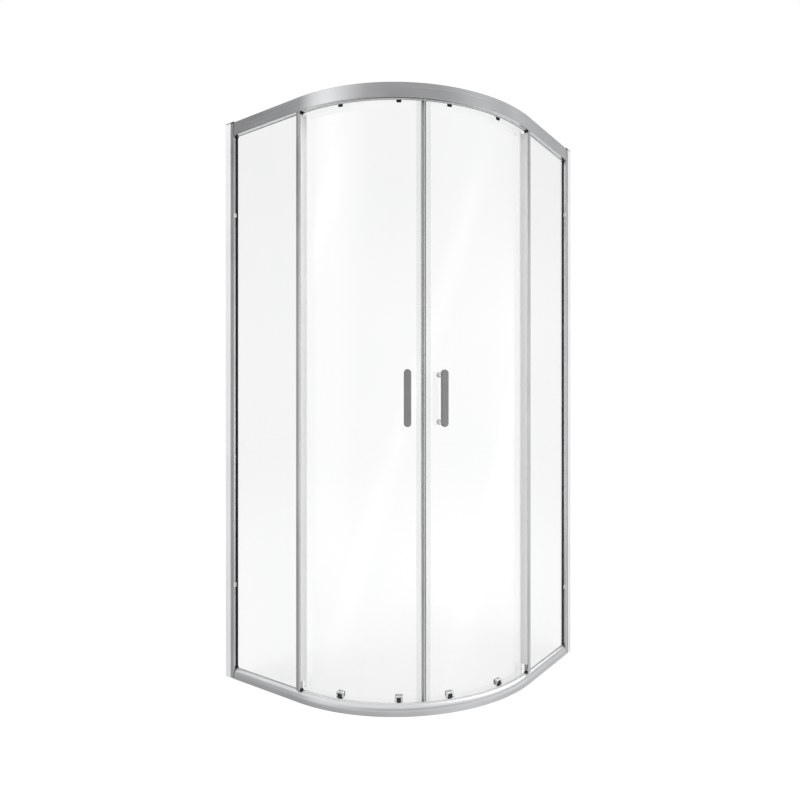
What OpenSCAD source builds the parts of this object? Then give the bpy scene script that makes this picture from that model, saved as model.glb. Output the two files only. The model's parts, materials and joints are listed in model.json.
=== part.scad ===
// Quadrant shower enclosure: two fixed glass panels and two curved sliding doors in an aluminium frame.
// The room corner is at (-x, +y). Wall A is the plane x = -side/2 and wall B is the plane y = +side/2.
// Side A runs along x at y = -side/2 and side B runs along y at x = +side/2. The rails bend between them.
// Every piece is drawn for side A. Side B is its mirror image across the diagonal.
// Two distances place a piece on side A: s runs along the side from wall A, and off inwards from the
// rails' outer face.

/* [Overall size] */
// Length of each side, from the wall to the outer face of the rail
side = 890; // [850:1:960]
// Radius of the rails' outer face around the bend
bend_r = 535; // [500:1:560]
// Height over the caps of the wall channels
height = 1900; // [1700:5:2000]

/* [Glass] */
// Thickness of every pane
glass_t = 5; // [4:0.5:6]
// Distance from the rail's outer face to the middle of a fixed pane
fixed_off = 15; // [14.5:0.1:15.5]
// Distance from the rail's outer face to the middle of a door pane
door_off = 36.5; // [36:0.1:37]
// Gap between a door's lower edge and the floor under the tray rim
door_lift = 18; // [17.5:0.5:24]
// Height of a door's upper edge below the top of the top rail
door_drop = 8; // [8:0.5:9]

/* [Rails] */
// Depth of both rails, from the outer face inwards
rail_depth = 46; // [45:0.5:52]
// Depth of the closed front box of both rails
box_depth = 21; // [20.8:0.1:21.2]
// Height of the top rail's face
top_face_h = 45; // [44:0.5:55]
// Height of the bottom rail's rounded front
bottom_h = 34; // [33:0.5:40]
// Radius of the bottom rail's rounded front
bottom_round = 20; // [16:0.5:20]
// Wall thickness of the rails
rail_wall = 2; // [1.6:0.1:2.2]
// Width of the groove in both rails that takes a fixed pane
groove_w = 8; // [7.6:0.1:8]
// Depth of the groove in both rails
groove_depth = 22; // [20:0.5:24]
// Distance from the top of the top rail down to the roller ledge
ledge_drop = 33; // [33:0.5:36]
// Distance from the rail's outer face to the ledge's inner edge
ledge_off = 30; // [29:0.1:30]
// Height of the lip along the bottom rail's inner edge
lip_h = 8; // [6:0.5:8]
// Height of the drip lip under the top rail's inner edge
drip_h = 6; // [3:0.5:6]

/* [Wall channels and posts] */
// Depth of a wall channel along the side
channel_w = 25; // [22:0.5:30]
// Width of a wall channel across the glass
channel_across = 25; // [24:0.5:28]
// Wall thickness of the channel
channel_wall = 1.5; // [1.2:0.1:2]
// Thickness of the cap on a channel
cap_t = 3; // [2:0.5:4]
// Distance from the wall to the back of the post inside the channel
post_start = 12; // [10:0.5:14]
// Distance from the wall to the glass side of the post
post_end = 41; // [40:0.5:46]
// Wall thickness of the posts
post_wall = 2; // [1.6:0.1:2.4]
// Depth of the groove for the glass in a post
post_groove = 13; // [10:0.5:13]
// Radius of the wall screw holes in a channel
wall_hole_r = 2.5; // [2:0.1:3]
// Height of the lowest wall screw hole
wall_hole_z = 150; // [100:5:250]

/* [End posts of the fixed panes] */
// Distance from the end of the straight side back to the end post
end_post_back = 2; // [1:0.5:4]
// Width of an end post along the side
end_post_w = 15; // [14.5:0.5:18]
// Distance from the rail's outer face to the end post's face
end_post_off = 4; // [3:0.5:6]
// Height of the lower end of the sweep seal, which lets the guides pass under it
sweep_z = 62; // [60:1:80]

/* [Doors] */
// How far a door's pane runs past the bend on the fixed side
door_overrun = 9; // [8.5:0.5:11]
// Width of the left door's magnet profile beyond the glass
magnet_left_w = 11; // [8:0.5:14]
// Width of the right door's magnet profile beyond the glass
magnet_right_w = 4; // [3.5:0.5:6]
// How far the seals grip the glass
seal_grip = 14; // [8:0.5:16]
// Angle about the bend's centre from the end of the bend to the rear roller
rear_angle = 15; // [13:0.5:17]
// Angle about the bend's centre from the end of the bend to the front roller
front_angle = 36; // [33:0.5:37]
// Angle that a door opens
open_angle = 24; // [20:1:25]

/* [Handles] */
// Height of the middle of a handle
handle_z = 952; // [850:1:1050]
// Length of a handle bar
handle_len = 172; // [150:1:220]
// Width of a handle bar
handle_w = 22; // [18:0.5:26]
// Thickness of a handle bar
handle_t = 12; // [10:0.5:14]
// Distance between a handle's two legs
handle_pitch = 145; // [120:1:145]
// Distance from the glass to the back of a handle bar
handle_reach = 46; // [40:0.5:60]
// Distance from a pane's front edge to the middle of its handle
handle_edge = 43; // [40:1:52]

/* [Rollers and guides] */
// Radius of a top roller
roller_r = 11.5; // [10.5:0.1:11.6]
// Width of a top roller
roller_w = 8; // [7:0.1:8]
// Radius of a roller axle
axle_r = 3; // [2.5:0.1:3]
// Radius of a roller's inner knob
knob_r = 12; // [9:0.5:12]
// Radius of a guide wheel
guide_r = 7; // [6:0.1:7]
// Height of a guide wheel
guide_h = 5.7; // [5:0.1:5.7]
// Radius of a guide wheel's pin
guide_pin_r = 2; // [1.5:0.1:2.4]
// Width of a guide housing
housing_w = 24; // [23:0.5:28]
// Height of a guide housing
housing_h = 17.5; // [17.5:0.5:24]
// Travel of a guide's slider when its tab is lifted
slider_travel = 4; // [3:0.5:4]

/* [Clips and screws] */
// Distance from each end of the left post to the middle of its clips
clip_inset_left = 320; // [200:5:500]
// Distance from each end of the right post to the middle of its clips
clip_inset_right = 252; // [200:2:500]
// Radius of the frame screws
screw_r = 1.7; // [1.4:0.1:2]
// Radius of the frame screws' heads
screw_head_r = 3.4; // [3:0.1:3.6]

/* [Fits] */
// Gap between pieces that pass or hold each other
gap = 0.3; // [0.2:0.05:0.35]
// Gap around an axle or screw in its hole
bore_gap = 0.05; // [0.02:0.01:0.1]

/* [Hidden] */
$fn = 96;

// Frame
straight = side - bend_r;
bend_x = side / 2 - bend_r;
bend_y = bend_r - side / 2;
rail_top = height - cap_t;
top_low = rail_top - top_face_h;
groove_off = fixed_off - groove_w / 2;
fixed_in = fixed_off - glass_t / 2;
fixed_out = fixed_off + glass_t / 2;
groove_floor = bottom_h - groove_depth;
groove_roof = rail_top - groove_depth - rail_wall;
ledge_top = rail_top - ledge_drop;
strip_t = 1.5;
strip_h = 8;
strip_recess = 1;
strip_back = 0.5;
block_t = 3;
block_h = 13;
block_len = 60;
block_inset = 30;
fixed_low = groove_floor + block_t;
fixed_top = groove_roof - strip_t - gap;
grip_gap = 0.1;

// Wall channels and posts
post_off = channel_wall + gap;
post_across = channel_across - 2 * post_off;
post_hollow_end = post_end - post_groove - post_wall;
gasket_t = 2.3;
gasket_proud = 2.5;
bed_low = fixed_in - gasket_t;
bed_high = fixed_out + gasket_t;
fixed_start = post_end - post_groove + gasket_t;
wall_hole_pitch = (height - 2 * wall_hole_z) / 2;
screw_above = 80;
screw_z = [wall_hole_z + screw_above, height / 2 + screw_above, height - wall_hole_z - screw_above];
screw_head_t = 2.2;
screw_bite = 1;
shaft_gap = 0.5;
head_gap = 0.2;
port_gap = 0.6;
port_len = 20;
screw_s = (channel_w + post_start) / 2;
flange_t = 3;
rail_start = post_end + flange_t;
connector_off = 6.6;
connector_z = [9, rail_top - top_face_h / 2];
foot_h = 5;
foot_len = 6;
tenon_len = 22;
tongue_h = 8;
clip_h = 14;
clip_len = 4;
box_chamber_h = bottom_h - bottom_round + 2;
box_chamber_off = rail_wall + 0.5;

// End posts
end_post_end = straight - end_post_back;
end_post_start = end_post_end - end_post_w;
end_rib = 7;
end_post_across = box_depth - 1 - end_post_off;
end_groove = end_post_w - end_rib;
fixed_end = end_post_start + end_groove - gap;
port_s = end_post_end - end_rib / 2;
end_foot_len = 4;
fin_t = 1.5;
sweep_back = 6;

// Doors
door_r = bend_r - door_off;
door_in = door_r - glass_t / 2;
door_out = door_r + glass_t / 2;
door_low = door_lift;
door_top = rail_top - door_drop;
rear_end = -90 - asin(door_overrun / door_r);
meet_gap = 0.6;
hole_r = 7;
boss_r = hole_r - gap;
rear_a = -90 + rear_angle;
front_a = -90 + front_angle;

// Seals and magnets
seal_t = 1.2;
seal_low = door_low + 1;
seal_high = ledge_top - rail_wall - 2;
fin_high = top_low - 2;
magnet_high = ledge_top + 6;
seal_foot = 18;
lip_grip = 6;
magnet_t = 10;
magnet_in = door_r - magnet_t / 2;
magnet_wall = 0.9;

// Handles
handle_legs = [handle_z - handle_pitch / 2, handle_z + handle_pitch / 2];
handle_hole_r = 4;
handle_screw_r = 2.5;
handle_bite = 14;
handle_head_t = 6;
leg_r = 6.5;
washer_t = 1;
washer_r = 9;
leg_start = door_out + gap + washer_t;
bar_start = door_out + handle_reach;

// Rollers
web_r = bend_r - box_depth;
ledge_r = bend_r - ledge_off;
roller_out = web_r - 0.5;
roller_in = roller_out - roller_w;
roller_z = ledge_top + gap + roller_r;
carrier_out = ledge_r - 0.4;
carrier_half = 7.5;
carrier_over = 7;
toe_out = 6;
toe_t = 3.5;
carrier_low = ledge_top - rail_wall - gap - toe_t;
carrier_drop = 8;
hub_r = 5;
axle_head_t = 1.5;
axle_head_r = axle_r + 2;
recess = axle_head_t + 2 * gap + 0.1;
knob_t = 8.5;
knob_wall = 2;

// Guides
guide_centre_r = web_r - gap - guide_r;
guide_low = rail_wall + 2.3;
guide_top = guide_low + guide_h;
housing_out = web_r - 5;
housing_low = door_lift + 15.5;
housing_top = housing_low + housing_h;
housing_mid = (housing_low + housing_top) / 2;
channel_half = 6.5;
housing_back = 1.5;
housing_front = 1.2;
bridge_t = 2;
backplate_t = 4.5;
backplate_head_t = 2;
tab_rise = 1;
tab_h = 6.5;
tab_out = 4.5;
window_h = tab_rise + tab_h + slider_travel + 1.5;
slider_top = housing_low + tab_rise + tab_h;
slider_foot_t = 4;
pin_head_r = guide_pin_r + 1.2;
spring_wire = 0.8;
spring_r = 1.8;
spring_turns = 3;
spring_at = (door_out + gap + housing_back + housing_out - housing_front) / 2;
spring_sides = 6;
spring_steps = 12;
spring_low = slider_top + spring_wire / 2;
spring_high = housing_top - bridge_t - spring_wire / 2;

// Rubber stops on the roller ledge, where a rear roller ends its travel
stop_len = 15;
stop_h = 14;
stop_gap = 0.5;
stop_sweep = open_angle - rear_angle;
stop_reach = web_r * sin(stop_sweep) + roller_r * cos(stop_sweep) + stop_gap;

steel = "silver";
bright = "gainsboro";
black = "#202224";
clear = "lightcyan";
milky = "whitesmoke";

// How far a cut runs past a face, and the facets of a full turn of the rails
past = 1;
arc_fn = 360;

// Placing
module along_a(from, to) {
    translate([-side / 2 + from, -side / 2, 0]) rotate([90, 0, 90]) linear_extrude(to - from) children();
}
module upright_a(low, high) {
    translate([-side / 2, -side / 2, low]) linear_extrude(high - low) children();
}
module on_a(s, off, z) {
    translate([-side / 2 + s, -side / 2 + off, z]) children();
}
module sweep(from, to) {
    translate([bend_x, bend_y, 0]) rotate([0, 0, from]) rotate_extrude(angle = to - from, $fn = arc_fn)
        children();
}
module bend(from, to) {
    sweep(from, to) translate([bend_r, 0]) mirror([1, 0]) children();
}
module arc_wall(from, to, r_in, r_out, low, high) {
    reach = 2 * r_out;
    mid = (from + to) / 2;
    translate([bend_x, bend_y, low]) linear_extrude(high - low) intersection() {
        difference() {
            circle(r = r_out, $fn = arc_fn);
            circle(r = r_in, $fn = arc_fn);
        }
        polygon([
            [0, 0],
            [reach * cos(from), reach * sin(from)],
            [reach * cos(mid), reach * sin(mid)],
            [reach * cos(to), reach * sin(to)]
        ]);
    }
}
module at(angle, r, z) {
    translate([bend_x, bend_y, 0]) rotate([0, 0, angle]) translate([r, 0, z]) children();
}
module other_side() {
    mirror([1, 1, 0]) children();
}
module both_sides() {
    children();
    other_side() children();
}
module outwards(r, len) {
    rotate([0, 90, 0]) cylinder(r = r, h = len);
}
function arc_angle(length) = length / door_r * 180 / PI;
function glass_lead(magnet_w) = -45 - arc_angle(magnet_w + meet_gap / 2);
function handle_a(magnet_w) = glass_lead(magnet_w) - arc_angle(handle_edge);

// Rail sections, drawn with off to the right and height upwards
module top_section() {
    difference() {
        union() {
            translate([0, top_low]) square([box_depth, top_face_h]);
            translate([0, rail_top - rail_wall]) square([rail_depth, rail_wall]);
            translate([box_depth - rail_wall, ledge_top - rail_wall])
                square([ledge_off - box_depth + rail_wall, rail_wall]);
            translate([rail_depth - rail_wall, rail_top - drip_h]) square([rail_wall, drip_h]);
        }
        translate([groove_off, top_low - past]) square([groove_w, groove_roof - top_low + past]);
        translate([rail_wall, top_low + rail_wall])
            square([groove_off - 2 * rail_wall, top_face_h - 2 * rail_wall]);
        translate([groove_off, groove_roof + rail_wall])
            square([groove_w, rail_top - groove_roof - 2 * rail_wall]);
    }
}
module bottom_front() {
    round_z = bottom_h - bottom_round;
    square([box_depth, round_z]);
    translate([bottom_round, 0]) square([box_depth - bottom_round, bottom_h]);
    intersection() {
        translate([bottom_round, round_z]) circle(r = bottom_round);
        translate([0, round_z]) square([bottom_round, bottom_round]);
    }
}
module bottom_section() {
    difference() {
        union() {
            bottom_front();
            square([rail_depth, rail_wall]);
            translate([rail_depth - rail_wall, 0]) square([rail_wall, lip_h]);
        }
        translate([groove_off, groove_floor]) square([groove_w, bottom_h]);
        translate([box_chamber_off, rail_wall])
            square([groove_off - rail_wall - box_chamber_off, box_chamber_h]);
        translate([groove_off, rail_wall]) square([groove_w, groove_floor - 2 * rail_wall]);
    }
}
module rail_path() {
    both_sides() along_a(rail_start, straight) children();
    bend(-90, 0) children();
}
module port_holes(low, high) {
    both_sides() on_a(port_s, fixed_off, low) cylinder(r = screw_head_r + port_gap, h = high - low);
}
module port_shafts(low, high) {
    both_sides() on_a(port_s, fixed_off, low) cylinder(r = screw_r + shaft_gap, h = high - low);
}
module top_rail() {
    color(bright) difference() {
        rail_path() top_section();
        port_holes(rail_top - rail_wall - past, rail_top + past);
        port_shafts(groove_roof - past, groove_roof + rail_wall + past);
    }
}
module bottom_rail() {
    color(bright) difference() {
        rail_path() bottom_section();
        port_holes(-past, rail_wall + past);
        port_shafts(groove_floor - rail_wall - past, groove_floor + past);
    }
}

// Wall channel, post and what closes and fixes them
module channel_a() {
    color(bright) difference() {
        upright_a(0, height - cap_t) difference() {
            square([channel_w, channel_across]);
            translate([channel_wall, channel_wall]) square([channel_w, channel_across - 2 * channel_wall]);
        }
        for (i = [0:2])
            on_a(-past, channel_across / 2, wall_hole_z + i * wall_hole_pitch)
                outwards(wall_hole_r, channel_wall + 2 * past);
        for (z = screw_z)
            on_a(screw_s, channel_across + past, z) rotate([90, 0, 0])
                cylinder(r = screw_r + shaft_gap, h = channel_wall + 2 * past);
    }
}
module post_a(low, high) {
    color(bright) difference() {
        upright_a(low, high) difference() {
            translate([post_start, post_off]) square([post_end - post_start, post_across]);
            translate([post_start + post_wall, post_off + post_wall])
                square([post_hollow_end - post_start - post_wall, post_across - 2 * post_wall]);
            translate([post_end - post_groove, bed_low]) square([post_groove + past, bed_high - bed_low]);
        }
        for (z = screw_z)
            on_a(screw_s, post_off + post_across + past, z) rotate([90, 0, 0])
                cylinder(r = screw_r + bore_gap, h = post_wall + 2 * past);
        for (z = connector_z)
            on_a(post_start - past, connector_off, z)
                outwards(screw_head_r + head_gap, post_hollow_end - post_start + past);
        for (z = connector_z)
            on_a(post_start - past, connector_off, z)
                outwards(screw_r + shaft_gap, post_end - post_start + 2 * past);
    }
}
module wall_channel_left() channel_a();
module wall_channel_right() other_side() channel_a();
module wall_post_left() post_a(0, height - cap_t);
module wall_post_right() other_side() post_a(0, height - cap_t);
module channel_caps() {
    color(black) both_sides() {
        upright_a(height - cap_t, height) square([post_end, channel_across]);
        upright_a(height - cap_t - tongue_h, height - cap_t)
            translate([post_start + post_wall + gap, post_off + post_wall + gap])
                square([post_hollow_end - post_start - post_wall - 2 * gap, post_across - 2 * post_wall - 2 * gap]);
    }
}
module wall_gaskets() {
    color(black) both_sides() upright_a(bottom_h + foot_h, top_low - foot_h) difference() {
        translate([post_end - post_groove, bed_low])
            square([post_groove + gasket_proud, bed_high - bed_low]);
        translate([fixed_start - grip_gap, fixed_in - grip_gap])
            square([post_groove + gasket_proud, glass_t + 2 * grip_gap]);
    }
}
module clip_a(inset) {
    for (z = [inset, height - inset])
        on_a(post_end, post_off + gap, z - clip_h / 2)
            cube([clip_len, bed_low - post_off - 2 * gap, clip_h]);
}
module post_clips() {
    color(milky) clip_a(clip_inset_left);
    color(milky) other_side() clip_a(clip_inset_right);
}

// Corner pieces that join a rail's end to a post, with a foot around the glass
module connector_a(z, foot_low, foot_high, notch_low, notch_high, tenon_low, tenon_high, tenon_off) {
    difference() {
        union() {
            along_a(post_end, rail_start) children();
            upright_a(foot_low, foot_high) translate([post_end, bed_low])
                square([foot_len, bed_high - bed_low]);
            upright_a(tenon_low, tenon_high) translate([post_end, tenon_off])
                square([flange_t + tenon_len, groove_off - rail_wall - gap - tenon_off]);
        }
        on_a(post_end - past, connector_off, z) outwards(screw_r + bore_gap, port_len + 2 * past);
        upright_a(notch_low, notch_high) translate([post_end - past, fixed_in - gap])
            square([foot_len + 2 * past, glass_t + 2 * gap]);
    }
}
module rail_connectors() {
    color(black) both_sides() {
        connector_a(connector_z[0], bottom_h, bottom_h + foot_h, fixed_low - gap, bottom_h + foot_h + past,
            rail_wall + gap, rail_wall + box_chamber_h - gap, box_chamber_off + gap) {
            bottom_front();
            translate([bed_low, bottom_h - foot_h]) square([bed_high - bed_low, foot_h]);
            translate([box_depth - past, 0]) square([rail_depth - box_depth + past, bottom_h]);
        }
        connector_a(connector_z[1], top_low - foot_h, top_low, top_low - foot_h - past, fixed_top + gap,
            top_low + rail_wall + gap, rail_top - rail_wall - gap, rail_wall + gap)
            translate([0, top_low]) square([rail_depth, top_face_h]);
    }
}

// Self-tapping screws: posts to channels, connectors to posts, and end posts to rails
module frame_screw(len) {
    cylinder(r = screw_r, h = len);
    translate([0, 0, -screw_head_t]) cylinder(r = screw_head_r, h = screw_head_t);
}
module frame_screws() {
    color(steel) both_sides() {
        for (z = screw_z)
            on_a(screw_s, channel_across, z) rotate([90, 0, 0])
                frame_screw(channel_wall + gap + post_wall + screw_bite);
        for (z = connector_z)
            on_a(post_hollow_end, connector_off, z) rotate([0, 90, 0])
                frame_screw(post_end - post_hollow_end + port_len);
        on_a(port_s, fixed_off, groove_floor - rail_wall) frame_screw(rail_wall + port_len);
        on_a(port_s, fixed_off, groove_roof + rail_wall) mirror([0, 0, 1])
            frame_screw(rail_wall + port_len);
    }
}

// Fixed panes and their glazing
module fixed_glass_a() {
    color(clear) upright_a(fixed_low, fixed_top) translate([fixed_start, fixed_in])
        square([fixed_end - fixed_start, glass_t]);
}
module fixed_glass_left() fixed_glass_a();
module fixed_glass_right() other_side() fixed_glass_a();
module glazing_strips() {
    groove_strips();
    color(milky) both_sides() along_a(rail_start + gap, end_post_start - gap) difference() {
        translate([groove_off, top_low]) square([groove_w, groove_roof - top_low]);
        translate([fixed_in - grip_gap, top_low - past])
            square([glass_t + 2 * grip_gap, fixed_top - top_low + past + gap]);
    }
}
module groove_strips() {
    strip_low = bottom_h - strip_recess - strip_h;
    color(milky) {
        both_sides() for (off = [groove_off, fixed_out + grip_gap])
            upright_a(strip_low, strip_low + strip_h) translate([post_end + foot_len + gap, off])
                square([end_post_start - gap - post_end - foot_len - gap, fixed_in - grip_gap - groove_off]);
        arc_wall(-90 + strip_back, -strip_back, bend_r - groove_off - groove_w + grip_gap,
            bend_r - groove_off - grip_gap, strip_low, strip_low + strip_h);
    }
}
module setting_blocks() {
    color(black) both_sides() for (s = [rail_start + block_inset, end_post_start - block_inset - block_len])
        along_a(s, s + block_len) difference() {
            translate([groove_off, groove_floor]) square([groove_w, block_h]);
            translate([fixed_in - grip_gap, fixed_low]) square([glass_t + 2 * grip_gap, block_h]);
        }
}

// End post of a fixed pane, with tongues in the rails' grooves, its feet and its seal
module end_post_a() {
    tongue_s = end_post_start + end_groove;
    color(bright) difference() {
        union() {
            upright_a(bottom_h, top_low) translate([end_post_start, end_post_off])
                square([end_post_w, end_post_across]);
            upright_a(groove_floor, groove_roof) translate([tongue_s, groove_off + gap])
                square([end_post_w - end_groove, groove_w - 2 * gap]);
        }
        upright_a(bottom_h - past, top_low + past) translate([end_post_start - past, fixed_in - gap])
            square([end_groove + past, glass_t + 2 * gap]);
        upright_a(groove_floor - past, groove_roof + past) translate([port_s, fixed_off])
            circle(r = screw_r + bore_gap);
    }
}
module end_post_left() end_post_a();
module end_post_right() other_side() end_post_a();
module end_post_feet() {
    color(black) both_sides() for (z = [bottom_h, top_low - foot_h])
        on_a(end_post_end, end_post_off, z) cube([end_foot_len, end_post_across, foot_h]);
}
module sweep_seals() {
    color(milky) both_sides() upright_a(sweep_z, top_low - foot_h - gap)
        translate([end_post_end, fixed_off - sweep_back])
            square([fin_t, door_off - glass_t / 2 - gap - fixed_off + sweep_back]);
}
module door_stops() {
    color(black) both_sides()
        on_a(straight - stop_reach - stop_len, box_depth, ledge_top)
            cube([stop_len, ledge_off - box_depth, stop_h]);
}

// Curved door panes and their seals
module door_glass(magnet_w) {
    lead = glass_lead(magnet_w);
    color(clear) difference() {
        arc_wall(rear_end, lead, door_in, door_out, door_low, door_top);
        for (a = [rear_a, front_a])
            at(a, door_in - past, roller_z) outwards(hole_r, glass_t + 2 * past);
        for (a = [rear_a, front_a])
            at(a, door_in - past, housing_mid) outwards(hole_r, glass_t + 2 * past);
        for (z = handle_legs)
            at(handle_a(magnet_w), door_in - past, z) outwards(handle_hole_r, glass_t + 2 * past);
    }
}
module trailing_seal() {
    back = rear_end - arc_angle(seal_t + gap);
    front = rear_end + arc_angle(lip_grip);
    low = seal_low + seal_foot;
    fin_end = bend_r - box_depth + 1 - gap;
    color(milky) {
        difference() {
            arc_wall(back, front, door_in - gap - seal_t, door_out + gap + seal_t, low, seal_high);
            arc_wall(rear_end - arc_angle(gap), front + past, door_in - gap, door_out + gap, low - past, seal_high + past);
        }
        arc_wall(back, back + arc_angle(fin_t), door_out + gap + seal_t / 2, fin_end, low, fin_high);
    }
}
module magnet_profile(magnet_w) {
    lead = glass_lead(magnet_w);
    grip = lead - arc_angle(seal_grip);
    tip = -45 - arc_angle(meet_gap / 2);
    web = lead + arc_angle(gap + magnet_wall / 2);
    color(milky) difference() {
        union() {
            arc_wall(grip, web, door_in - gap - seal_t, door_out + gap + seal_t, seal_low, magnet_high);
            arc_wall(lead + arc_angle(gap / 2), tip, magnet_in, magnet_in + magnet_t, seal_low, magnet_high);
        }
        arc_wall(grip - past, lead + arc_angle(gap), door_in - gap, door_out + gap, seal_low - past, magnet_high + past);
        magnet_space(magnet_w, 0, past);
    }
}
module magnet_space(magnet_w, inset, extra) {
    from = glass_lead(magnet_w) + arc_angle(gap + magnet_wall + inset);
    to = -45 - arc_angle(meet_gap / 2 + magnet_wall + inset);
    side_wall = seal_t + inset;
    arc_wall(from, to, magnet_in + side_wall, magnet_in + magnet_t - side_wall, seal_low - extra, magnet_high + extra);
}
module magnet(magnet_w) {
    color(black) magnet_space(magnet_w, grip_gap, -past);
}

// Bar handle with two legs, washers on both faces of the glass and screws from inside
module handle(magnet_w) {
    straight_len = handle_len - handle_w;
    color("#7c7d7f") at(handle_a(magnet_w), 0, 0) difference() {
        union() {
            translate([bar_start, 0, handle_z]) rotate([90, 0, 90]) linear_extrude(handle_t) {
                square([handle_w, straight_len], center = true);
                for (end = [-1, 1]) translate([0, end * straight_len / 2]) circle(r = handle_w / 2);
            }
            for (z = handle_legs) translate([leg_start, 0, z])
                outwards(leg_r, bar_start - leg_start + past);
        }
        for (z = handle_legs) translate([leg_start - past, 0, z])
            outwards(handle_screw_r + bore_gap, handle_bite + 3 * past);
    }
}
module handle_washers(magnet_w) {
    color(milky) for (z = handle_legs, r = [door_out + gap, door_in - gap - washer_t])
        at(handle_a(magnet_w), r, z) difference() {
            outwards(washer_r, washer_t);
            translate([-past, 0, 0]) outwards(handle_screw_r + shaft_gap, washer_t + 2 * past);
        }
}
module handle_screws(magnet_w) {
    screw_start = door_in - gap - washer_t;
    color(steel) for (z = handle_legs) at(handle_a(magnet_w), screw_start, z) {
        outwards(handle_screw_r, leg_start - screw_start + handle_bite);
        translate([-handle_head_t, 0, 0]) outwards(washer_r - 1, handle_head_t);
    }
}

// Top rollers: black carrier through the glass, axle, knob inside and a plain wheel on the ledge
module roller_carriers() {
    width = carrier_out - door_out - gap;
    color(black) for (a = [rear_a, front_a]) at(a, 0, 0) difference() {
        union() {
            translate([door_out + gap, -carrier_half, carrier_low - carrier_drop])
                cube([width, 2 * carrier_half, roller_z + carrier_over - carrier_low + carrier_drop]);
            translate([door_out + gap, -carrier_half, carrier_low])
                cube([width + toe_out, 2 * carrier_half, toe_t]);
            translate([door_in + gap, 0, roller_z]) outwards(boss_r, carrier_out - door_in - gap);
            translate([carrier_out - past, 0, roller_z])
                outwards(hub_r, roller_in - gap - carrier_out + past);
        }
        translate([door_in, 0, roller_z]) outwards(axle_r + bore_gap, roller_in - door_in + past);
    }
}
module roller_axles() {
    axle_end = roller_out - recess + gap;
    color(steel) for (a = [rear_a, front_a]) at(a, 0, roller_z) {
        translate([door_in - gap - knob_t + knob_wall, 0, 0])
            outwards(axle_r, axle_end - door_in + gap + knob_t - knob_wall + axle_head_t);
        translate([axle_end, 0, 0]) outwards(axle_head_r, axle_head_t);
    }
}
module roller_knobs() {
    color(bright) for (a = [rear_a, front_a]) at(a, door_in - gap - knob_t, roller_z) difference() {
        outwards(knob_r, knob_t);
        translate([knob_wall, 0, 0]) outwards(axle_r + bore_gap, knob_t);
    }
}
module roller(angle) {
    color(milky) at(angle, roller_in, roller_z) difference() {
        outwards(roller_r, roller_w);
        translate([-past, 0, 0]) outwards(axle_r + bore_gap, roller_w + 2 * past);
        translate([roller_w - recess, 0, 0]) outwards(axle_head_r + shaft_gap, recess + past);
    }
}

// Bottom guides: bright housing on the outside, sprung black slider with a tab, wheel below it in the rail
module guide_housings() {
    depth = housing_out - door_out - gap;
    color(bright) for (a = [rear_a, front_a]) at(a, door_out + gap, housing_low) {
        difference() {
            union() {
                translate([0, -housing_w / 2, 0]) cube([depth, housing_w, housing_h]);
                translate([gap - glass_t, 0, housing_h / 2]) outwards(boss_r, glass_t);
            }
            translate([housing_back, -channel_half, -past])
                cube([depth, 2 * channel_half, housing_h - bridge_t + past]);
            translate([gap - glass_t - past, 0, housing_h / 2])
                outwards(screw_r + bore_gap, glass_t + past);
        }
        translate([depth - housing_front, -channel_half, window_h])
            cube([housing_front, 2 * channel_half, housing_h - window_h]);
    }
}
module guide_backplates() {
    color(bright) for (a = [rear_a, front_a]) at(a, door_in - gap - backplate_t, housing_mid) {
        translate([0, -housing_w / 2, -housing_h / 2]) cube([backplate_t, housing_w, housing_h]);
        outwards(screw_r, backplate_t + gap + glass_t - shaft_gap);
        translate([-backplate_head_t, 0, 0]) outwards(boss_r - 1.5, backplate_head_t + past);
    }
}
module guide_slider(angle) {
    inner = door_out + gap + housing_back + gap;
    outer = housing_out - housing_front - gap;
    half = channel_half - gap;
    foot_low = guide_top + gap;
    color(black) at(angle, 0, 0) {
        translate([inner, -half, foot_low]) cube([outer - inner, 2 * half, slider_top - foot_low]);
        translate([inner, -half, foot_low])
            cube([guide_centre_r + pin_head_r - inner, 2 * half, slider_foot_t]);
        translate([inner, -half, housing_low + tab_rise])
            cube([housing_out + tab_out - inner, 2 * half, tab_h]);
        translate([guide_centre_r, 0, guide_low - gap])
            cylinder(r = guide_pin_r, h = foot_low - guide_low + gap + past);
        translate([guide_centre_r, 0, guide_low - gap - past]) cylinder(r = pin_head_r, h = past);
    }
}
module guide_wheel(angle) {
    color(milky) at(angle, guide_centre_r, guide_low) difference() {
        cylinder(r = guide_r, h = guide_h);
        translate([0, 0, -past]) cylinder(r = guide_pin_r + bore_gap, h = guide_h + 2 * past);
    }
}

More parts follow.
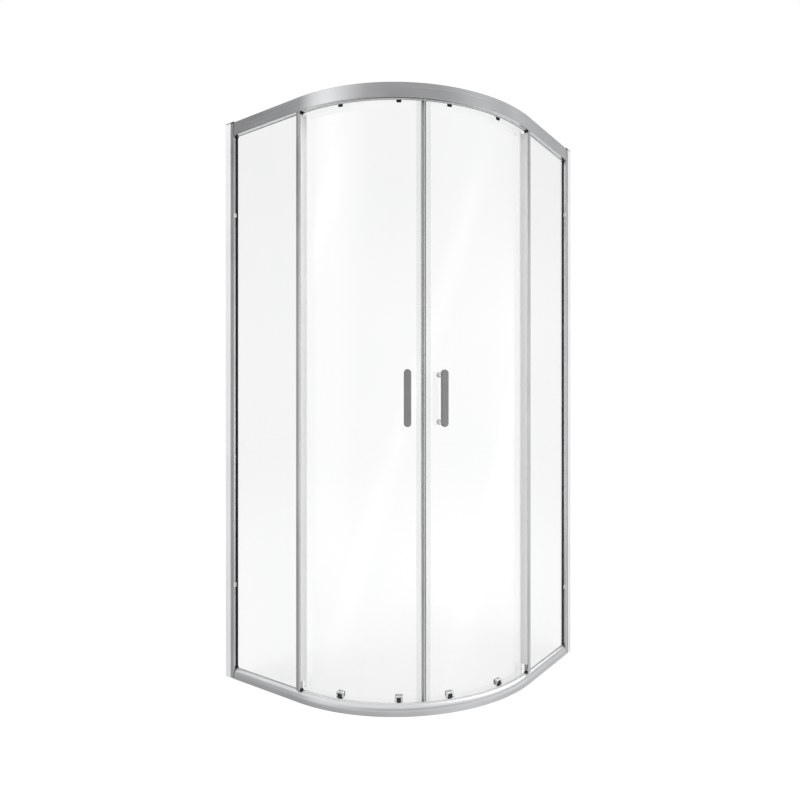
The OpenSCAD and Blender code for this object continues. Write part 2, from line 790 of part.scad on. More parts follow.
// Round-wire compression spring, one unbroken tube along a helix
function spring_ring(t, k) = let(
        turn = 360 * spring_turns * t,
        r = spring_r + spring_wire / 2 * cos(360 * k / spring_sides),
        u = spring_wire / 2 * sin(360 * k / spring_sides)
    ) [r * cos(turn), r * sin(turn), (spring_high - spring_low) * t + u];
function spring_centre(t) = let(turn = 360 * spring_turns * t)
    [spring_r * cos(turn), spring_r * sin(turn), (spring_high - spring_low) * t];
spring_apart = [for (i = [0:spring_steps], j = [0:3 * spring_steps - 1]) if (j - i >= spring_steps / 2)
    norm(spring_centre(j / spring_steps / spring_turns) - spring_centre(i / spring_steps / spring_turns))];
spring_least_gap = min(spring_apart) - spring_wire;
echo(spring_least_gap = spring_least_gap);
module spring_wire_solid() {
    rings = spring_turns * spring_steps;
    points = [for (i = [0:rings]) for (k = [0:spring_sides - 1]) spring_ring(i / rings, k)];
    sides = [for (i = [0:rings - 1]) for (k = [0:spring_sides - 1]) let(
            a = i * spring_sides + k,
            b = i * spring_sides + (k + 1) % spring_sides
        ) [a, b, b + spring_sides, a + spring_sides]];
    start = [for (k = [spring_sides - 1:-1:0]) k];
    end = [for (k = [0:spring_sides - 1]) rings * spring_sides + k];
    polyhedron(points = points, faces = concat(sides, [start], [end]));
}
module guide_spring(angle) {
    color(steel) at(angle, spring_at, spring_low) spring_wire_solid();
}

module door_glass_left() door_glass(magnet_left_w);
module door_glass_right() other_side() door_glass(magnet_right_w);
module trailing_seal_left() trailing_seal();
module trailing_seal_right() other_side() trailing_seal();
module magnet_profile_left() magnet_profile(magnet_left_w);
module magnet_profile_right() other_side() magnet_profile(magnet_right_w);
module magnet_left() magnet(magnet_left_w);
module magnet_right() other_side() magnet(magnet_right_w);
module handle_left() handle(magnet_left_w);
module handle_right() other_side() handle(magnet_right_w);
module handle_washers_left() handle_washers(magnet_left_w);
module handle_washers_right() other_side() handle_washers(magnet_right_w);
module handle_screws_left() handle_screws(magnet_left_w);
module handle_screws_right() other_side() handle_screws(magnet_right_w);
module roller_carriers_left() roller_carriers();
module roller_carriers_right() other_side() roller_carriers();
module roller_axles_left() roller_axles();
module roller_axles_right() other_side() roller_axles();
module roller_knobs_left() roller_knobs();
module roller_knobs_right() other_side() roller_knobs();
module guide_housings_left() guide_housings();
module guide_housings_right() other_side() guide_housings();
module guide_backplates_left() guide_backplates();
module guide_backplates_right() other_side() guide_backplates();

wall_channel_left();
wall_channel_right();
wall_post_left();
wall_post_right();
channel_caps();
wall_gaskets();
post_clips();
top_rail();
bottom_rail();
rail_connectors();
frame_screws();
fixed_glass_left();
fixed_glass_right();
glazing_strips();
setting_blocks();
end_post_left();
end_post_right();
end_post_feet();
sweep_seals();
door_stops();
door_glass_left();
trailing_seal_left();
magnet_profile_left();
magnet_left();
handle_left();
handle_washers_left();
handle_screws_left();
roller_carriers_left();
roller_axles_left();
roller_knobs_left();
guide_housings_left();
guide_backplates_left();
door_glass_right();
trailing_seal_right();
magnet_profile_right();
magnet_right();
handle_right();
handle_washers_right();
handle_screws_right();
roller_carriers_right();
roller_axles_right();
roller_knobs_right();
guide_housings_right();
guide_backplates_right();
roller(rear_a);  // roller_left_rear
roller(front_a);  // roller_left_front
other_side() roller(rear_a);  // roller_right_rear
other_side() roller(front_a);  // roller_right_front
guide_slider(rear_a);  // guide_slider_left_rear
guide_slider(front_a);  // guide_slider_left_front
other_side() guide_slider(rear_a);  // guide_slider_right_rear
other_side() guide_slider(front_a);  // guide_slider_right_front
guide_wheel(rear_a);  // guide_wheel_left_rear
guide_wheel(front_a);  // guide_wheel_left_front
other_side() guide_wheel(rear_a);  // guide_wheel_right_rear
other_side() guide_wheel(front_a);  // guide_wheel_right_front
guide_spring(rear_a);  // guide_spring_left_rear
guide_spring(front_a);  // guide_spring_left_front
other_side() guide_spring(rear_a);  // guide_spring_right_rear
other_side() guide_spring(front_a);  // guide_spring_right_front
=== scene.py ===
# %% [markdown]
# # A quadrant shower enclosure in Blender
# The frame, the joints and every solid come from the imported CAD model. This script gives them their
# looks: real finishes, softly rounded edges, a plain pale floor and soft studio light.
# A solid whose shape is right keeps its CAD mesh and gets a finish. A solid that needs finer edges is
# made again as a numpy surface, and stands where the solid stood.

# %% Load the frame
import json
import math
import bpy
import numpy as np
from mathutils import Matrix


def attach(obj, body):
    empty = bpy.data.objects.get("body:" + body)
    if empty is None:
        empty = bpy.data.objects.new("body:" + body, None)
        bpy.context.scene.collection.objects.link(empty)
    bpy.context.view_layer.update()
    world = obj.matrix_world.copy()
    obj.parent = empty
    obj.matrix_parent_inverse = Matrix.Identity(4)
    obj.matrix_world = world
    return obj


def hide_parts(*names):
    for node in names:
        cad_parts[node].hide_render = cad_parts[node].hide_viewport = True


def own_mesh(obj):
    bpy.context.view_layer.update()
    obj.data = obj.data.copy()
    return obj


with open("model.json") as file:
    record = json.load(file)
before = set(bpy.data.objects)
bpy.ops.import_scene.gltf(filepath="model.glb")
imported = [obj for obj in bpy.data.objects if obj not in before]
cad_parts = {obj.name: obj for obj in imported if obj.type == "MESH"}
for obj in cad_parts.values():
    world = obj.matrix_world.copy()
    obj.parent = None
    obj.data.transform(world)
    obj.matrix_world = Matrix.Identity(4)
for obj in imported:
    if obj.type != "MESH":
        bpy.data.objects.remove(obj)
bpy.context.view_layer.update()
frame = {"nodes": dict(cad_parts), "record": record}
nodes = frame["nodes"]

# %% [markdown]
# ## The camera
# The photograph was taken from the front of the curve, at half the enclosure's height, and its
# upright posts are nearly parallel. A level camera with a small lens shift keeps them so, which a
# tilted camera would not. Its place was solved from the rails' edges, the joint and the handles.

# %% Place the camera
# The picture's side, the focal length and the middle of the view, in pixels; the sensor in mm; the
# camera's place in metres and its turn in degrees
PICTURE, FOCAL_PIXELS, CENTRE_PIXELS = 800, 640.1, (428.7, 409.1)
SENSOR = 36
CAMERA_PLACE, CAMERA_TURN = (1.381, -1.865, 0.9193), 34.54
camera_data = bpy.data.cameras.new("camera")
camera_data.sensor_width = SENSOR
camera_data.lens = SENSOR * FOCAL_PIXELS / PICTURE
camera_data.shift_x = (PICTURE / 2 - CENTRE_PIXELS[0]) / PICTURE
camera_data.shift_y = (CENTRE_PIXELS[1] - PICTURE / 2) / PICTURE
camera = bpy.data.objects.new("camera", camera_data)
camera.location = CAMERA_PLACE
camera.rotation_euler = (math.radians(90), 0, math.radians(CAMERA_TURN))
bpy.context.scene.collection.objects.link(camera)
bpy.context.scene.camera = camera
print("lens in mm:", round(camera_data.lens, 2))

# %% [markdown]
# ## Small tools for finishes
# Colours are written as the hex values a picture editor shows, and one function turns them into the
# linear light that the shaders work in. Another one adds a shader node with its values and links.
# Most finishes share one recipe: a fine pattern left by the making, and a broad unevenness left by
# polishing or handling. Together they shift the colour, the roughness and the relief a little, because
# a perfectly even surface looks painted.

# %% Colours, shader nodes and the recipe for a finish
def linear(code):
    """sRGB hex to linear: each channel c is c / 12.92 below 0.04045, or ((c + 0.055) / 1.055) ** 2.4."""
    c = np.array([int(code[i:i + 2], 16) for i in (1, 3, 5)]) / 255
    c = np.where(c <= 0.04045, c / 12.92, ((c + 0.055) / 1.055) ** 2.4)
    return (*c.tolist(), 1.0)


def add(tree, kind, sockets=None, **settings):
    """Adds a node, sets its settings, and fills its sockets with values or links from other nodes."""
    node = tree.nodes.new(kind)
    for name, value in settings.items():
        setattr(node, name, value)
    for name, value in (sockets or {}).items():
        socket = node.inputs[name]
        if isinstance(value, bpy.types.NodeSocket):
            tree.links.new(value, socket)
        else:
            socket.default_value = value
    return node


def finish(name, fine, broad, dark, pale, rough, relief, **fixed):
    """A Principled material. fine and broad are the sizes of the two noise patterns in mm, along x, y
    and z or all alike; rough is the range of roughness, and relief the fine pattern's height in mm."""
    material = bpy.data.materials.new(name)
    material.use_nodes = True
    tree = material.node_tree
    tree.nodes.clear()
    place = add(tree, "ShaderNodeTexCoord").outputs["Object"]
    noise = []
    for size, detail in ((fine, 2.0), (broad, 1.0)):
        per_metre = (1000 / np.broadcast_to(size, 3)).tolist()
        stretched = add(tree, "ShaderNodeMapping", {"Vector": place, "Scale": per_metre}).outputs[0]
        pattern = add(tree, "ShaderNodeTexNoise", {"Vector": stretched, "Scale": 1.0, "Detail": detail})
        noise.append(pattern.outputs[0])
    both = add(tree, "ShaderNodeMath", {0: noise[0], 1: noise[1]}, operation="ADD").outputs[0]
    # Two noises add up to about 1, so this takes the middle of their range
    share = add(tree, "ShaderNodeMapRange", {"Value": both, "From Min": 0.6, "From Max": 1.4}).outputs[0]
    colour = add(tree, "ShaderNodeMix", {0: share, 6: linear(dark), 7: linear(pale)}, data_type="RGBA")
    roughness = add(tree, "ShaderNodeMapRange", {"Value": share, "To Min": rough[0], "To Max": rough[1]})
    bumps = add(tree, "ShaderNodeBump", {"Height": noise[0], "Distance": relief / 1000, "Strength": 0.3})
    sockets = {key.replace("_", " "): value for key, value in fixed.items()}
    shader = add(tree, "ShaderNodeBsdfPrincipled", {"Base Color": colour.outputs[2], **sockets,
                 "Roughness": roughness.outputs[0], "Normal": bumps.outputs[0]})
    add(tree, "ShaderNodeOutputMaterial", {"Surface": shader.outputs[0]})
    print("finish:", name)
    return material


# %% [markdown]
# ## Aluminium
# The rails and posts are extruded aluminium: pushed hot through a steel die, then polished and
# anodised. The die leaves fine straight lines along the whole length, so a reflection is sharp along
# a piece and a little blurred across it. Real die lines are about 0.1 mm apart. Here they are drawn
# 1.7 mm wide, and those of the matt channels 2 mm, because finer ones would vanish between the
# picture's pixels. The bottom rail is only part polished, because it gets stepped on, so its
# reflections are softer.
# The wall channels are the same metal with a matt etch before anodising. The etch scatters the light,
# so they look nearly white beside the polished posts.

# %% Polished and satin aluminium
# Widths of a die line and of the unevenness, and the length along which a die line stays the same
DIE_LINE, UNEVEN, LENGTHWAYS = 1.667, 167, 667
along_rail, along_post = (LENGTHWAYS, LENGTHWAYS, DIE_LINE), (DIE_LINE, DIE_LINE, LENGTHWAYS)
bare = dict(broad=UNEVEN, dark="#c3c4c6", pale="#d3d4d5", relief=0.02, Metallic=1.0)
rail_aluminium = finish("polished_aluminium_rail", along_rail, rough=(0.14, 0.24), **bare)
sill_aluminium = finish("part_polished_aluminium_rail", along_rail, rough=(0.3, 0.38), **bare)
post_aluminium = finish("polished_aluminium_post", along_post, rough=(0.14, 0.24), **bare)
channel_aluminium = finish("satin_anodised_aluminium", (2, 2, 500), UNEVEN, "#e6e7e8", "#f0f0f0",
                           rough=(0.38, 0.48), relief=0.02, Metallic=0.3)

# %% [markdown]
# ## Glass
# The panes are 5 mm toughened float glass. Float glass is smooth and nearly clear, and the oven that
# toughens it leaves a slight wave, a hand's width long. Its iron gives a faint green that shows along
# the edges, where light has come a long way through it.

# %% Toughened glass
glass = finish("toughened_glass", (143, 143, 333), 500, "#f9fafa", "#fbfcfb", rough=(0.0, 0.0),
               relief=0.02, Transmission_Weight=1.0, IOR=1.5)

# %% [markdown]
# ## Plastics and rubber
# The caps, corner pieces, carriers and sliders are nylon, moulded in a spark-eroded steel mould. That
# leaves an even fine grain, a few tenths of a millimetre wide, drawn 0.8 mm wide here. The rollers and
# guide wheels are turned from white nylon, with tool marks drawn 1.4 mm wide. EPDM rubber is duller,
# and its extruded skin has a faint bloom instead of a grain.
# The seals are soft clear PVC. Their walls are about 1 mm thick, so they bend light less than a block
# of PVC would, and the IOR is set lower than its 1.53. Extrusion leaves long faint clouds in them.
# The fins between the end posts and the doors are the same PVC filled with chalk, white and opaque, and
# the strips in the rails' grooves are a pale grey one. The clips and washers are harder, and moulded
# from a milky polycarbonate.

# %% Nylon, rubber and clear plastics
# Widths of the moulded grain and of a tool mark, and the recipe of a seal's clouds
GRAIN, TOOL_MARK = 0.8333, 1.4286
SEAL_CLOUDS = dict(fine=(5, 5, 333), broad=(83.3, 83.3, 250), relief=0.02)
black_nylon = finish("moulded_black_nylon", GRAIN, 111, "#1b1c1e", "#242527", rough=(0.36, 0.5), relief=0.04,
                     IOR=1.53)
black_rubber = finish("extruded_epdm_rubber", (11.1, 11.1, 83.3), 200, "#1a1a1a", "#262626",
                      rough=(0.68, 0.82), relief=0.02, IOR=1.5)
soft_pvc = finish("soft_clear_pvc", dark="#f5f5f5", pale="#fafbfb", rough=(0.04, 0.12),
                  Transmission_Weight=1.0, IOR=1.12, **SEAL_CLOUDS)
white_pvc = finish("extruded_white_pvc", dark="#f6f6f6", pale="#fbfbfb", rough=(0.35, 0.45), IOR=1.53,
                   **SEAL_CLOUDS)
grey_pvc = finish("extruded_grey_pvc", 5, UNEVEN, "#dadbdb", "#e4e5e5", rough=(0.5, 0.6), relief=0.02,
                  IOR=1.53)
clear_plastic = finish("moulded_milky_polycarbonate", 6.667, 50, "#e8e9ea", "#f2f3f3", rough=(0.2, 0.3),
                       relief=0.01, Transmission_Weight=0.15, IOR=1.58)
white_nylon = finish("machined_white_nylon", TOOL_MARK, 33.3, "#e2e2df", "#eeeeea", rough=(0.35, 0.45),
                     relief=0.02, IOR=1.53)

# %% [markdown]
# A magnet strip is ferrite powder bound in rubber and pressed into the seal, with a speckle of a few
# tenths of a millimetre, drawn 1.1 mm wide here. The left one has a grey coating. The right one is dark
# like ferrite, and its darkness is also painted shade for the shadowed gap where the two doors meet.

# %% Magnets
SPECKLE = 1.111
grey_magnet = finish("coated_ferrite_magnet", SPECKLE, 200, "#a4a4a6", "#b2b2b3", rough=(0.5, 0.6),
                     relief=0.02, IOR=1.5)
# The right magnet: ferrite's own dark tone, darkened as painted shade for the gap where the doors meet
magnet_with_gap_shade = finish("ferrite_magnet_painted_gap_shade", SPECKLE, 200, "#343231", "#42403f", rough=(0.55, 0.65),
                     relief=0.02, IOR=1.5)

# %% [markdown]
# ## Small metal parts
# The handles are zinc castings, linished along their length on a belt and then plated dark satin
# nickel. The belt's grit leaves scratches about 0.2 mm apart, drawn 0.6 mm apart here. The screws
# are turned stainless steel, with tool marks about 0.1 mm apart, drawn 1.1 mm apart. The knobs, the
# handles' legs and the guide housings are chromed: nearly a mirror.

# %% Satin nickel, stainless steel and chrome
SCRATCH, SCRATCH_LENGTH, TURNED_MARK = 0.625, 40, 1.111
handle_metal = finish("satin_nickel_plate", (SCRATCH, SCRATCH, SCRATCH_LENGTH), 50, "#868687", "#969697",
                      rough=(0.28, 0.4), relief=0.03, Metallic=1.0)
screw_steel = finish("turned_stainless_steel", TURNED_MARK, 16.67, "#c4c3c1", "#d2d1cf",
                     rough=(0.22, 0.34), relief=0.02, Metallic=1.0)
chrome = finish("chrome_plate", 8.333, 33.3, "#dcdddf", "#e6e7e8", rough=(0.05, 0.12), relief=0.01,
                Metallic=1.0)

# %% [markdown]
# Each node of the CAD model names a material slot. The rails, the right magnet with its painted gap
# shade, the strips and the fins differ from the rest of their slot, so they are named one by one.

# %% Give the CAD nodes their finishes
finish_of_slot = {
    "frame_aluminium": post_aluminium, "channel_aluminium": channel_aluminium, "clear_glass": glass,
    "black_plastic": black_nylon, "black_rubber": black_rubber, "seal_plastic": soft_pvc,
    "clear_plastic": clear_plastic, "magnet_strip": grey_magnet, "handle_metal": handle_metal,
    "screw_steel": screw_steel, "chrome": chrome, "white_nylon": white_nylon}
finish_of_node = {"top_rail": rail_aluminium, "bottom_rail": sill_aluminium, "magnet_right": magnet_with_gap_shade,
                  "glazing_strips": grey_pvc, "sweep_seals": white_pvc}
slot_of_node = {part["node"]: part["material_slot"] for part in frame["record"]["subparts"]}
for name, node in nodes.items():
    for material_slot in node.material_slots:
        material_slot.material = finish_of_node.get(name, finish_of_slot[slot_of_node[name]])
print("finished CAD nodes:", len(nodes))

# %% [markdown]
# ## Tools for shapes
# Almost every part of an enclosure is an extrusion: one outline pushed along a straight line or a
# bend. So one function rounds the corners of an outline, and another joins copies of it into a closed
# skin. Sizes are in millimetres, and the finished mesh is turned into metres.
# On side A, s runs along the wall from its corner and off runs inwards from the outer face. Side B is
# its mirror image. A point on a door is given by its radius from the bend's centre, its distance
# sideways and its height.

# %% The enclosure's main sizes
SIDE, HEIGHT, BEND_R = 890.0, 1900.0, 535.0
BEND_CENTRE = (SIDE / 2 - BEND_R, BEND_R - SIDE / 2)
# The fixed panes' middle as an off, and the doors' middle, inner face and outer face as radii
GLASS, PANE, DOOR_R = 5.0, 15.0, 498.5
DOOR_IN, DOOR_OUT = DOOR_R - GLASS / 2, DOOR_R + GLASS / 2
# Heights of the bottom rail's top and of the top rail's lower and upper edge
SILL_TOP, RAIL_LOW, RAIL_HIGH = 34.0, 1852.0, 1897.0
# s of the wall posts' inner face and of the rails' ends
POST_FACE, RAIL_END = 41.0, 44.0
# The rails' walls, and the air that parts keep from the glass and the rollers from their ledge
WALL, CLEAR = 2.0, 0.3
SIDES = ("left", "right")
print("radii of the doors' two faces in mm:", DOOR_IN, DOOR_OUT)

# %% Round an outline's corners
def rounded(corners, radius, steps=4):
    """Each corner becomes an arc that touches both its edges. The arc's centre lies on the corner's
    bisector, radius / sin(half angle) away, and the points turn evenly about that centre."""
    corner = np.asarray(corners, float)
    radius = np.broadcast_to(np.asarray(radius, float), len(corner))[:, None]
    before, after = np.roll(corner, 1, 0) - corner, np.roll(corner, -1, 0) - corner
    before /= np.linalg.norm(before, axis=1, keepdims=True)
    after /= np.linalg.norm(after, axis=1, keepdims=True)
    half = np.arccos(np.clip((before * after).sum(1, keepdims=True), -1, 1)) / 2
    middle = (before + after) / np.linalg.norm(before + after, axis=1, keepdims=True)
    centre = corner + middle * radius / np.sin(half)
    start = (corner + before * radius / np.tan(half) - centre)[:, None]
    end = (corner + after * radius / np.tan(half) - centre)[:, None]
    turn = (np.pi - 2 * half)[:, None]
    share = np.linspace(0, 1, steps + 1)[None, :, None]
    arc = (np.sin((1 - share) * turn) * start + np.sin(share * turn) * end) / np.sin(turn)
    return (centre[:, None] + arc).reshape(-1, 2)


def rectangle(width, depth, radius):
    """A rounded rectangle about the origin, with one radius or one for each corner."""
    w, d = width / 2, depth / 2
    return rounded([(-w, -d), (w, -d), (w, d), (-w, d)], radius)


print("points round a rectangle:", len(rectangle(2, 1, 0.1)))

# %% Join rings of points into a closed skin
def skin(rings, loop=False):
    """Quads join each ring to the next. A loop's last ring joins its first; otherwise a flat face
    closes each end. The faces are turned so that the volume they enclose is positive."""
    count, around = rings.shape[:2]
    index = np.arange(count * around).reshape(count, around)
    if loop:
        index = np.vstack([index, index[:1]])
    beside = np.roll(index, -1, 1)
    quads = np.stack([index[:-1], beside[:-1], beside[1:], index[1:]], -1).reshape(-1, 4)
    points = rings.reshape(-1, 3)
    a, b, c, d = (points[quads[:, i]] for i in range(4))
    volume = (a * np.cross(b, c)).sum() + (a * np.cross(c, d)).sum()
    ends = [] if loop else [index[0, ::-1], index[-1]]
    for end in ends:
        volume += (points[end[0]] * np.cross(points[end[1:-1]], points[end[2:]])).sum()
    turn = 1 if volume > 0 else -1
    return points, [face[::turn].tolist() for face in ends] + quads[:, ::turn].tolist()


outline = np.insert(rectangle(2, 1, 0.1), 2, 0, axis=1)
print("faces of a short bar:", len(skin(np.stack([outline, outline + (0, 0, 1)]))[1]))

# %% Put skins into a piece that rides on a body
def make(name, skins, look, body, replaced=None, sharp=32):
    """Joins skins into one mesh in metres. Edges over the sharp angle stay sharp, and face-weighted
    normals keep flat faces flat beside their rounded edges."""
    points = np.vstack([part[0] for part in skins]) / 1000
    first = np.cumsum([0] + [len(part[0]) for part in skins])
    faces = [[i + start for i in face] for part, start in zip(skins, first.tolist()) for face in part[1]]
    mesh = bpy.data.meshes.new(name)
    mesh.from_pydata(points.tolist(), [], faces)
    mesh.materials.append(look)
    mesh.polygons.foreach_set("use_smooth", [True] * len(faces))
    mesh.set_sharp_from_angle(angle=math.radians(sharp))
    piece = bpy.data.objects.new(name, mesh)
    bpy.context.scene.collection.objects.link(piece)
    even = piece.modifiers.new("even_normals", "WEIGHTED_NORMAL")
    even.keep_sharp = True
    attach(piece, body)
    if replaced:
        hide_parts(replaced)
    print(name, "skins:", len(skins), "faces:", len(faces))
    return piece


# %% Places on the frame and round the bend
def on_side(side, rings, loop=False):
    """The skin of rings of (s, off, z). On side B, (x, y) is mirrored into (-y, -x)."""
    x, y, z = rings[..., 0] - SIDE / 2, rings[..., 1] - SIDE / 2, rings[..., 2]
    return skin(np.stack([x, y, z] if side == "left" else [-y, -x, z], -1), loop)


def on_door(side, angle, rings, loop=False):
    """The skin of rings of (radius, sideways, height), turned to an angle about the bend's centre."""
    c, s = math.cos(math.radians(angle)), math.sin(math.radians(angle))
    r, t, z = rings[..., 0], rings[..., 1], rings[..., 2]
    x, y = BEND_CENTRE[0] + r * c - t * s, BEND_CENTRE[1] + r * s + t * c
    return skin(np.stack([x, y, z] if side == "left" else [-y, -x, z], -1), loop)


print("the left door turns about", BEND_CENTRE)

# %% [markdown]
# ## Rails
# A rail leaves the die straight and is then rolled to its bend, so its section is the same all along.
# The path is worked out as points with an inward direction, and each ring is the section laid there.

# %% The rails' path
STRAIGHT_RINGS, BEND_RINGS = 8, 121
bend_angle = np.radians(np.linspace(-90, 0, BEND_RINGS))
outward = np.stack([np.cos(bend_angle), np.sin(bend_angle)], -1)
along_wall = np.linspace(RAIL_END, SIDE - BEND_R, STRAIGHT_RINGS + 1)[:-1] - SIDE / 2
straight = np.stack([along_wall, np.full(STRAIGHT_RINGS, -SIDE / 2)], -1)
path = np.vstack([straight, BEND_CENTRE + BEND_R * outward, -straight[::-1, ::-1]])
inward = np.vstack([np.tile([0.0, 1.0], (STRAIGHT_RINGS, 1)), -outward,
                    np.tile([-1.0, 0.0], (STRAIGHT_RINGS, 1))])


def rail(section, part=slice(None)):
    """Rings of a section of (off, height): each point lies at path + off times the inward direction."""
    flat = path[part, None] + section[None, :, :1] * inward[part, None]
    height = np.broadcast_to(section[None, :, 1:], flat.shape[:2] + (1,))
    return skin(np.concatenate([flat, height], -1))


print("rings along a rail:", len(path))

# %% [markdown]
# The top rail has a box at its face, drawn solid here, a groove for the fixed panes, a ledge that the
# rollers run on, and a roof over them with a drip lip. Its single walls are 2 mm thick.

# %% The top rail
# offs of the groove's two sides, of the wall behind it, of the ledge's edge and of the rear edge
NEAR, FAR, LEDGE_EDGE, REAR = PANE - 4, PANE + 4, 30.0, 46.0
BACK = FAR + WALL
# Heights of the ledge's underside, the groove's end and the drip lip's edge
LEDGE, TOP_GROOVE, LIP = 1862.0, 1873.0, 1891.0
top_section = rounded(
    [(0, RAIL_LOW), (NEAR, RAIL_LOW), (NEAR, TOP_GROOVE), (FAR, TOP_GROOVE), (FAR, RAIL_LOW),
     (BACK, RAIL_LOW), (BACK, LEDGE), (LEDGE_EDGE, LEDGE), (LEDGE_EDGE, LEDGE + WALL), (BACK, LEDGE + WALL),
     (BACK, RAIL_HIGH - WALL), (REAR - WALL, RAIL_HIGH - WALL), (REAR - WALL, LIP), (REAR, LIP),
     (REAR, RAIL_HIGH), (0, RAIL_HIGH)],
    [1.0, 0.5, 0.3, 0.3, 0.5, 0.5, 0.5, 0.5, 0.5, 0.5, 0.5, 0.5, 0.5, 0.5, 0.8, 1.2])
make("rail_top", [rail(top_section)], rail_aluminium, "frame", "top_rail")

# %% [markdown]
# The bottom rail's front leans back more and more towards its top, which catches the light from above.
# So it is drawn as an arc that starts upright, solid up to the groove. Behind the groove lies the
# guide wheels' track.

# %% The bottom rail
# The arc's degrees, the height of its upper end, and how far it leans back there
FRONT_ARC, FRONT_TOP, FRONT_DEPTH = 57.0, 31.6, NEAR - 0.1
# Heights of the groove's floor and of the lip behind the track
SILL_GROOVE, TRACK_LIP = 12.0, 8.0
lean = np.radians(FRONT_ARC) * np.linspace(0, 1, 25)
# The arc's points are the running sum of steps along the lean
steps = np.cumsum(np.stack([np.sin(lean), np.cos(lean)], -1), 0) * FRONT_DEPTH / np.sin(lean).sum()
front = steps + (0, FRONT_TOP - steps[-1, 1])
# The first and the last corner only steer the edges beside them, and their points are cut off again
CORNER_STEPS = 3
cut = CORNER_STEPS + 1
behind = rounded(
    [(FRONT_DEPTH, FRONT_TOP), (NEAR, SILL_GROOVE), (FAR, SILL_GROOVE), (FAR, SILL_TOP), (BACK, SILL_TOP),
     (BACK, WALL), (REAR - WALL, WALL), (REAR - WALL, TRACK_LIP), (REAR, TRACK_LIP), (REAR, 0), (0, 0),
     (0, 10)],
    [0.2, 0.3, 0.3, 0.6, 0.6, 0.5, 0.5, 0.6, 0.6, 0.6, 0.8, 0.2], CORNER_STEPS)
bottom_section = np.vstack([front, behind[cut:-cut]])
make("rail_bottom", [rail(bottom_section)], sill_aluminium, "frame", "bottom_rail")
print("front of the bottom rail starts at a height of", round(float(front[0, 1]), 1))

# %% The strip that closes the top rail's groove along the bend
strip = rectangle(FAR - NEAR - 0.2, 8, 0.6) + (PANE, RAIL_LOW + 5)
bend_only = slice(STRAIGHT_RINGS + 1, len(path) - STRAIGHT_RINGS - 1)
make("groove_strip_top", [rail(strip, bend_only)], grey_pvc, "frame")

# %% [markdown]
# ## Posts
# The wall posts and the end posts of the fixed panes are cut from straight extrusions, each with a
# slot for the glass. Their long corners have a small radius from the die, which shows as a thin
# bright or dark line up the whole height. An end post stands between the rails, and a tongue in each
# of its ends fits the rails' grooves.

# %% Outlines of the posts
def upright(outline, levels):
    """Rings of an outline of (s, off), one at each height in levels."""
    rings = np.broadcast_to(outline, (len(levels),) + outline.shape)
    height = np.broadcast_to(np.asarray(levels, float)[:, None, None], rings.shape[:2] + (1,))
    return np.concatenate([rings, height], -1)


# Half widths of the slots round a pane with its gasket, and round a bare pane
GASKET_SLOT, BARE_SLOT = 4.8, 2.8
# s of a wall post's back and of its slot's floor, and its two offs
POST_BACK, POST_SLOT, POST_NEAR, POST_FAR = 12, 28, 1.8, 23.2
wall_post = rounded([(POST_BACK, POST_NEAR), (POST_FACE, POST_NEAR), (POST_FACE, PANE - GASKET_SLOT),
                     (POST_SLOT, PANE - GASKET_SLOT), (POST_SLOT, PANE + GASKET_SLOT),
                     (POST_FACE, PANE + GASKET_SLOT), (POST_FACE, POST_FAR), (POST_BACK, POST_FAR)],
                    [0.6, 1.2, 0.5, 0.3, 0.3, 0.5, 1.2, 0.6])
# s of an end post's open side, its slot's floor and its face towards the door, and its two offs
END_OPEN, END_SLOT, END_FACE, END_NEAR, END_FAR = 338, 346, 352.9, 4, 20
end_post = rounded([(END_OPEN, END_NEAR), (END_FACE, END_NEAR), (END_FACE, END_FAR), (END_OPEN, END_FAR),
                    (END_OPEN, PANE + BARE_SLOT), (END_SLOT, PANE + BARE_SLOT),
                    (END_SLOT, PANE - BARE_SLOT), (END_OPEN, PANE - BARE_SLOT)],
                   [1.5, 2.6, 0.8, 0.8, 0.4, 0.3, 0.3, 0.4])
# s of the tongues and of the screws that run into the end posts' ports
PORT = 349.5
tongue = rectangle(6.8, 7.2, 0.5) + (PORT, PANE)
tongue_levels = ([SILL_GROOVE, SILL_TOP - 0.1], [RAIL_LOW + 0.1, TOP_GROOVE])
print("height of an end post in mm:", RAIL_LOW - SILL_TOP)

# %% The posts
for side in SIDES:
    make(f"post_wall_{side}", [on_side(side, upright(wall_post, [0, RAIL_HIGH]))], post_aluminium, "frame",
         f"wall_post_{side}")
    shaft = on_side(side, upright(end_post, [SILL_TOP, RAIL_LOW]))
    tongues = [on_side(side, upright(tongue, ends)) for ends in tongue_levels]
    make(f"post_end_{side}", [shaft] + tongues, post_aluminium, "frame",
         f"end_post_{side}")

# %% [markdown]
# ## Turned shapes and softened blocks
# Wheels, knobs, legs and screws are round, so each is a profile turned about its axis. Caps, plates,
# sliders and housings are small blocks whose mould or die has rounded every edge.

# %% Turned shapes
def turned(profile, lobes=0, turns=48):
    """A profile of (along, radius, depth) turned round its axis; a point may leave out its depth. Each
    ring's radius is radius (1 + depth cos(lobes t)), so a depth above nought draws a driver's recess."""
    along, radius, depth = np.array([(*point, 0)[:3] for point in profile], float).T
    t = np.linspace(0, 2 * np.pi, turns, endpoint=False)
    reach = radius[:, None] * (1 + depth[:, None] * np.cos(lobes * t))
    along = np.broadcast_to(along[:, None], reach.shape)
    return np.stack([along, reach * np.cos(t), reach * np.sin(t)], -1)


print("points round a turned shape:", turned([(0, 1), (1, 1)]).shape[1])

# %% Softened blocks
def edge(radius, steps=4):
    """Depth and inset of a rounded edge: radius (1 - cos t) and radius (1 - sin t) over a quarter turn."""
    t = np.linspace(0, np.pi / 2, steps + 1)
    return radius * (1 - np.cos(t)), radius * (1 - np.sin(t))


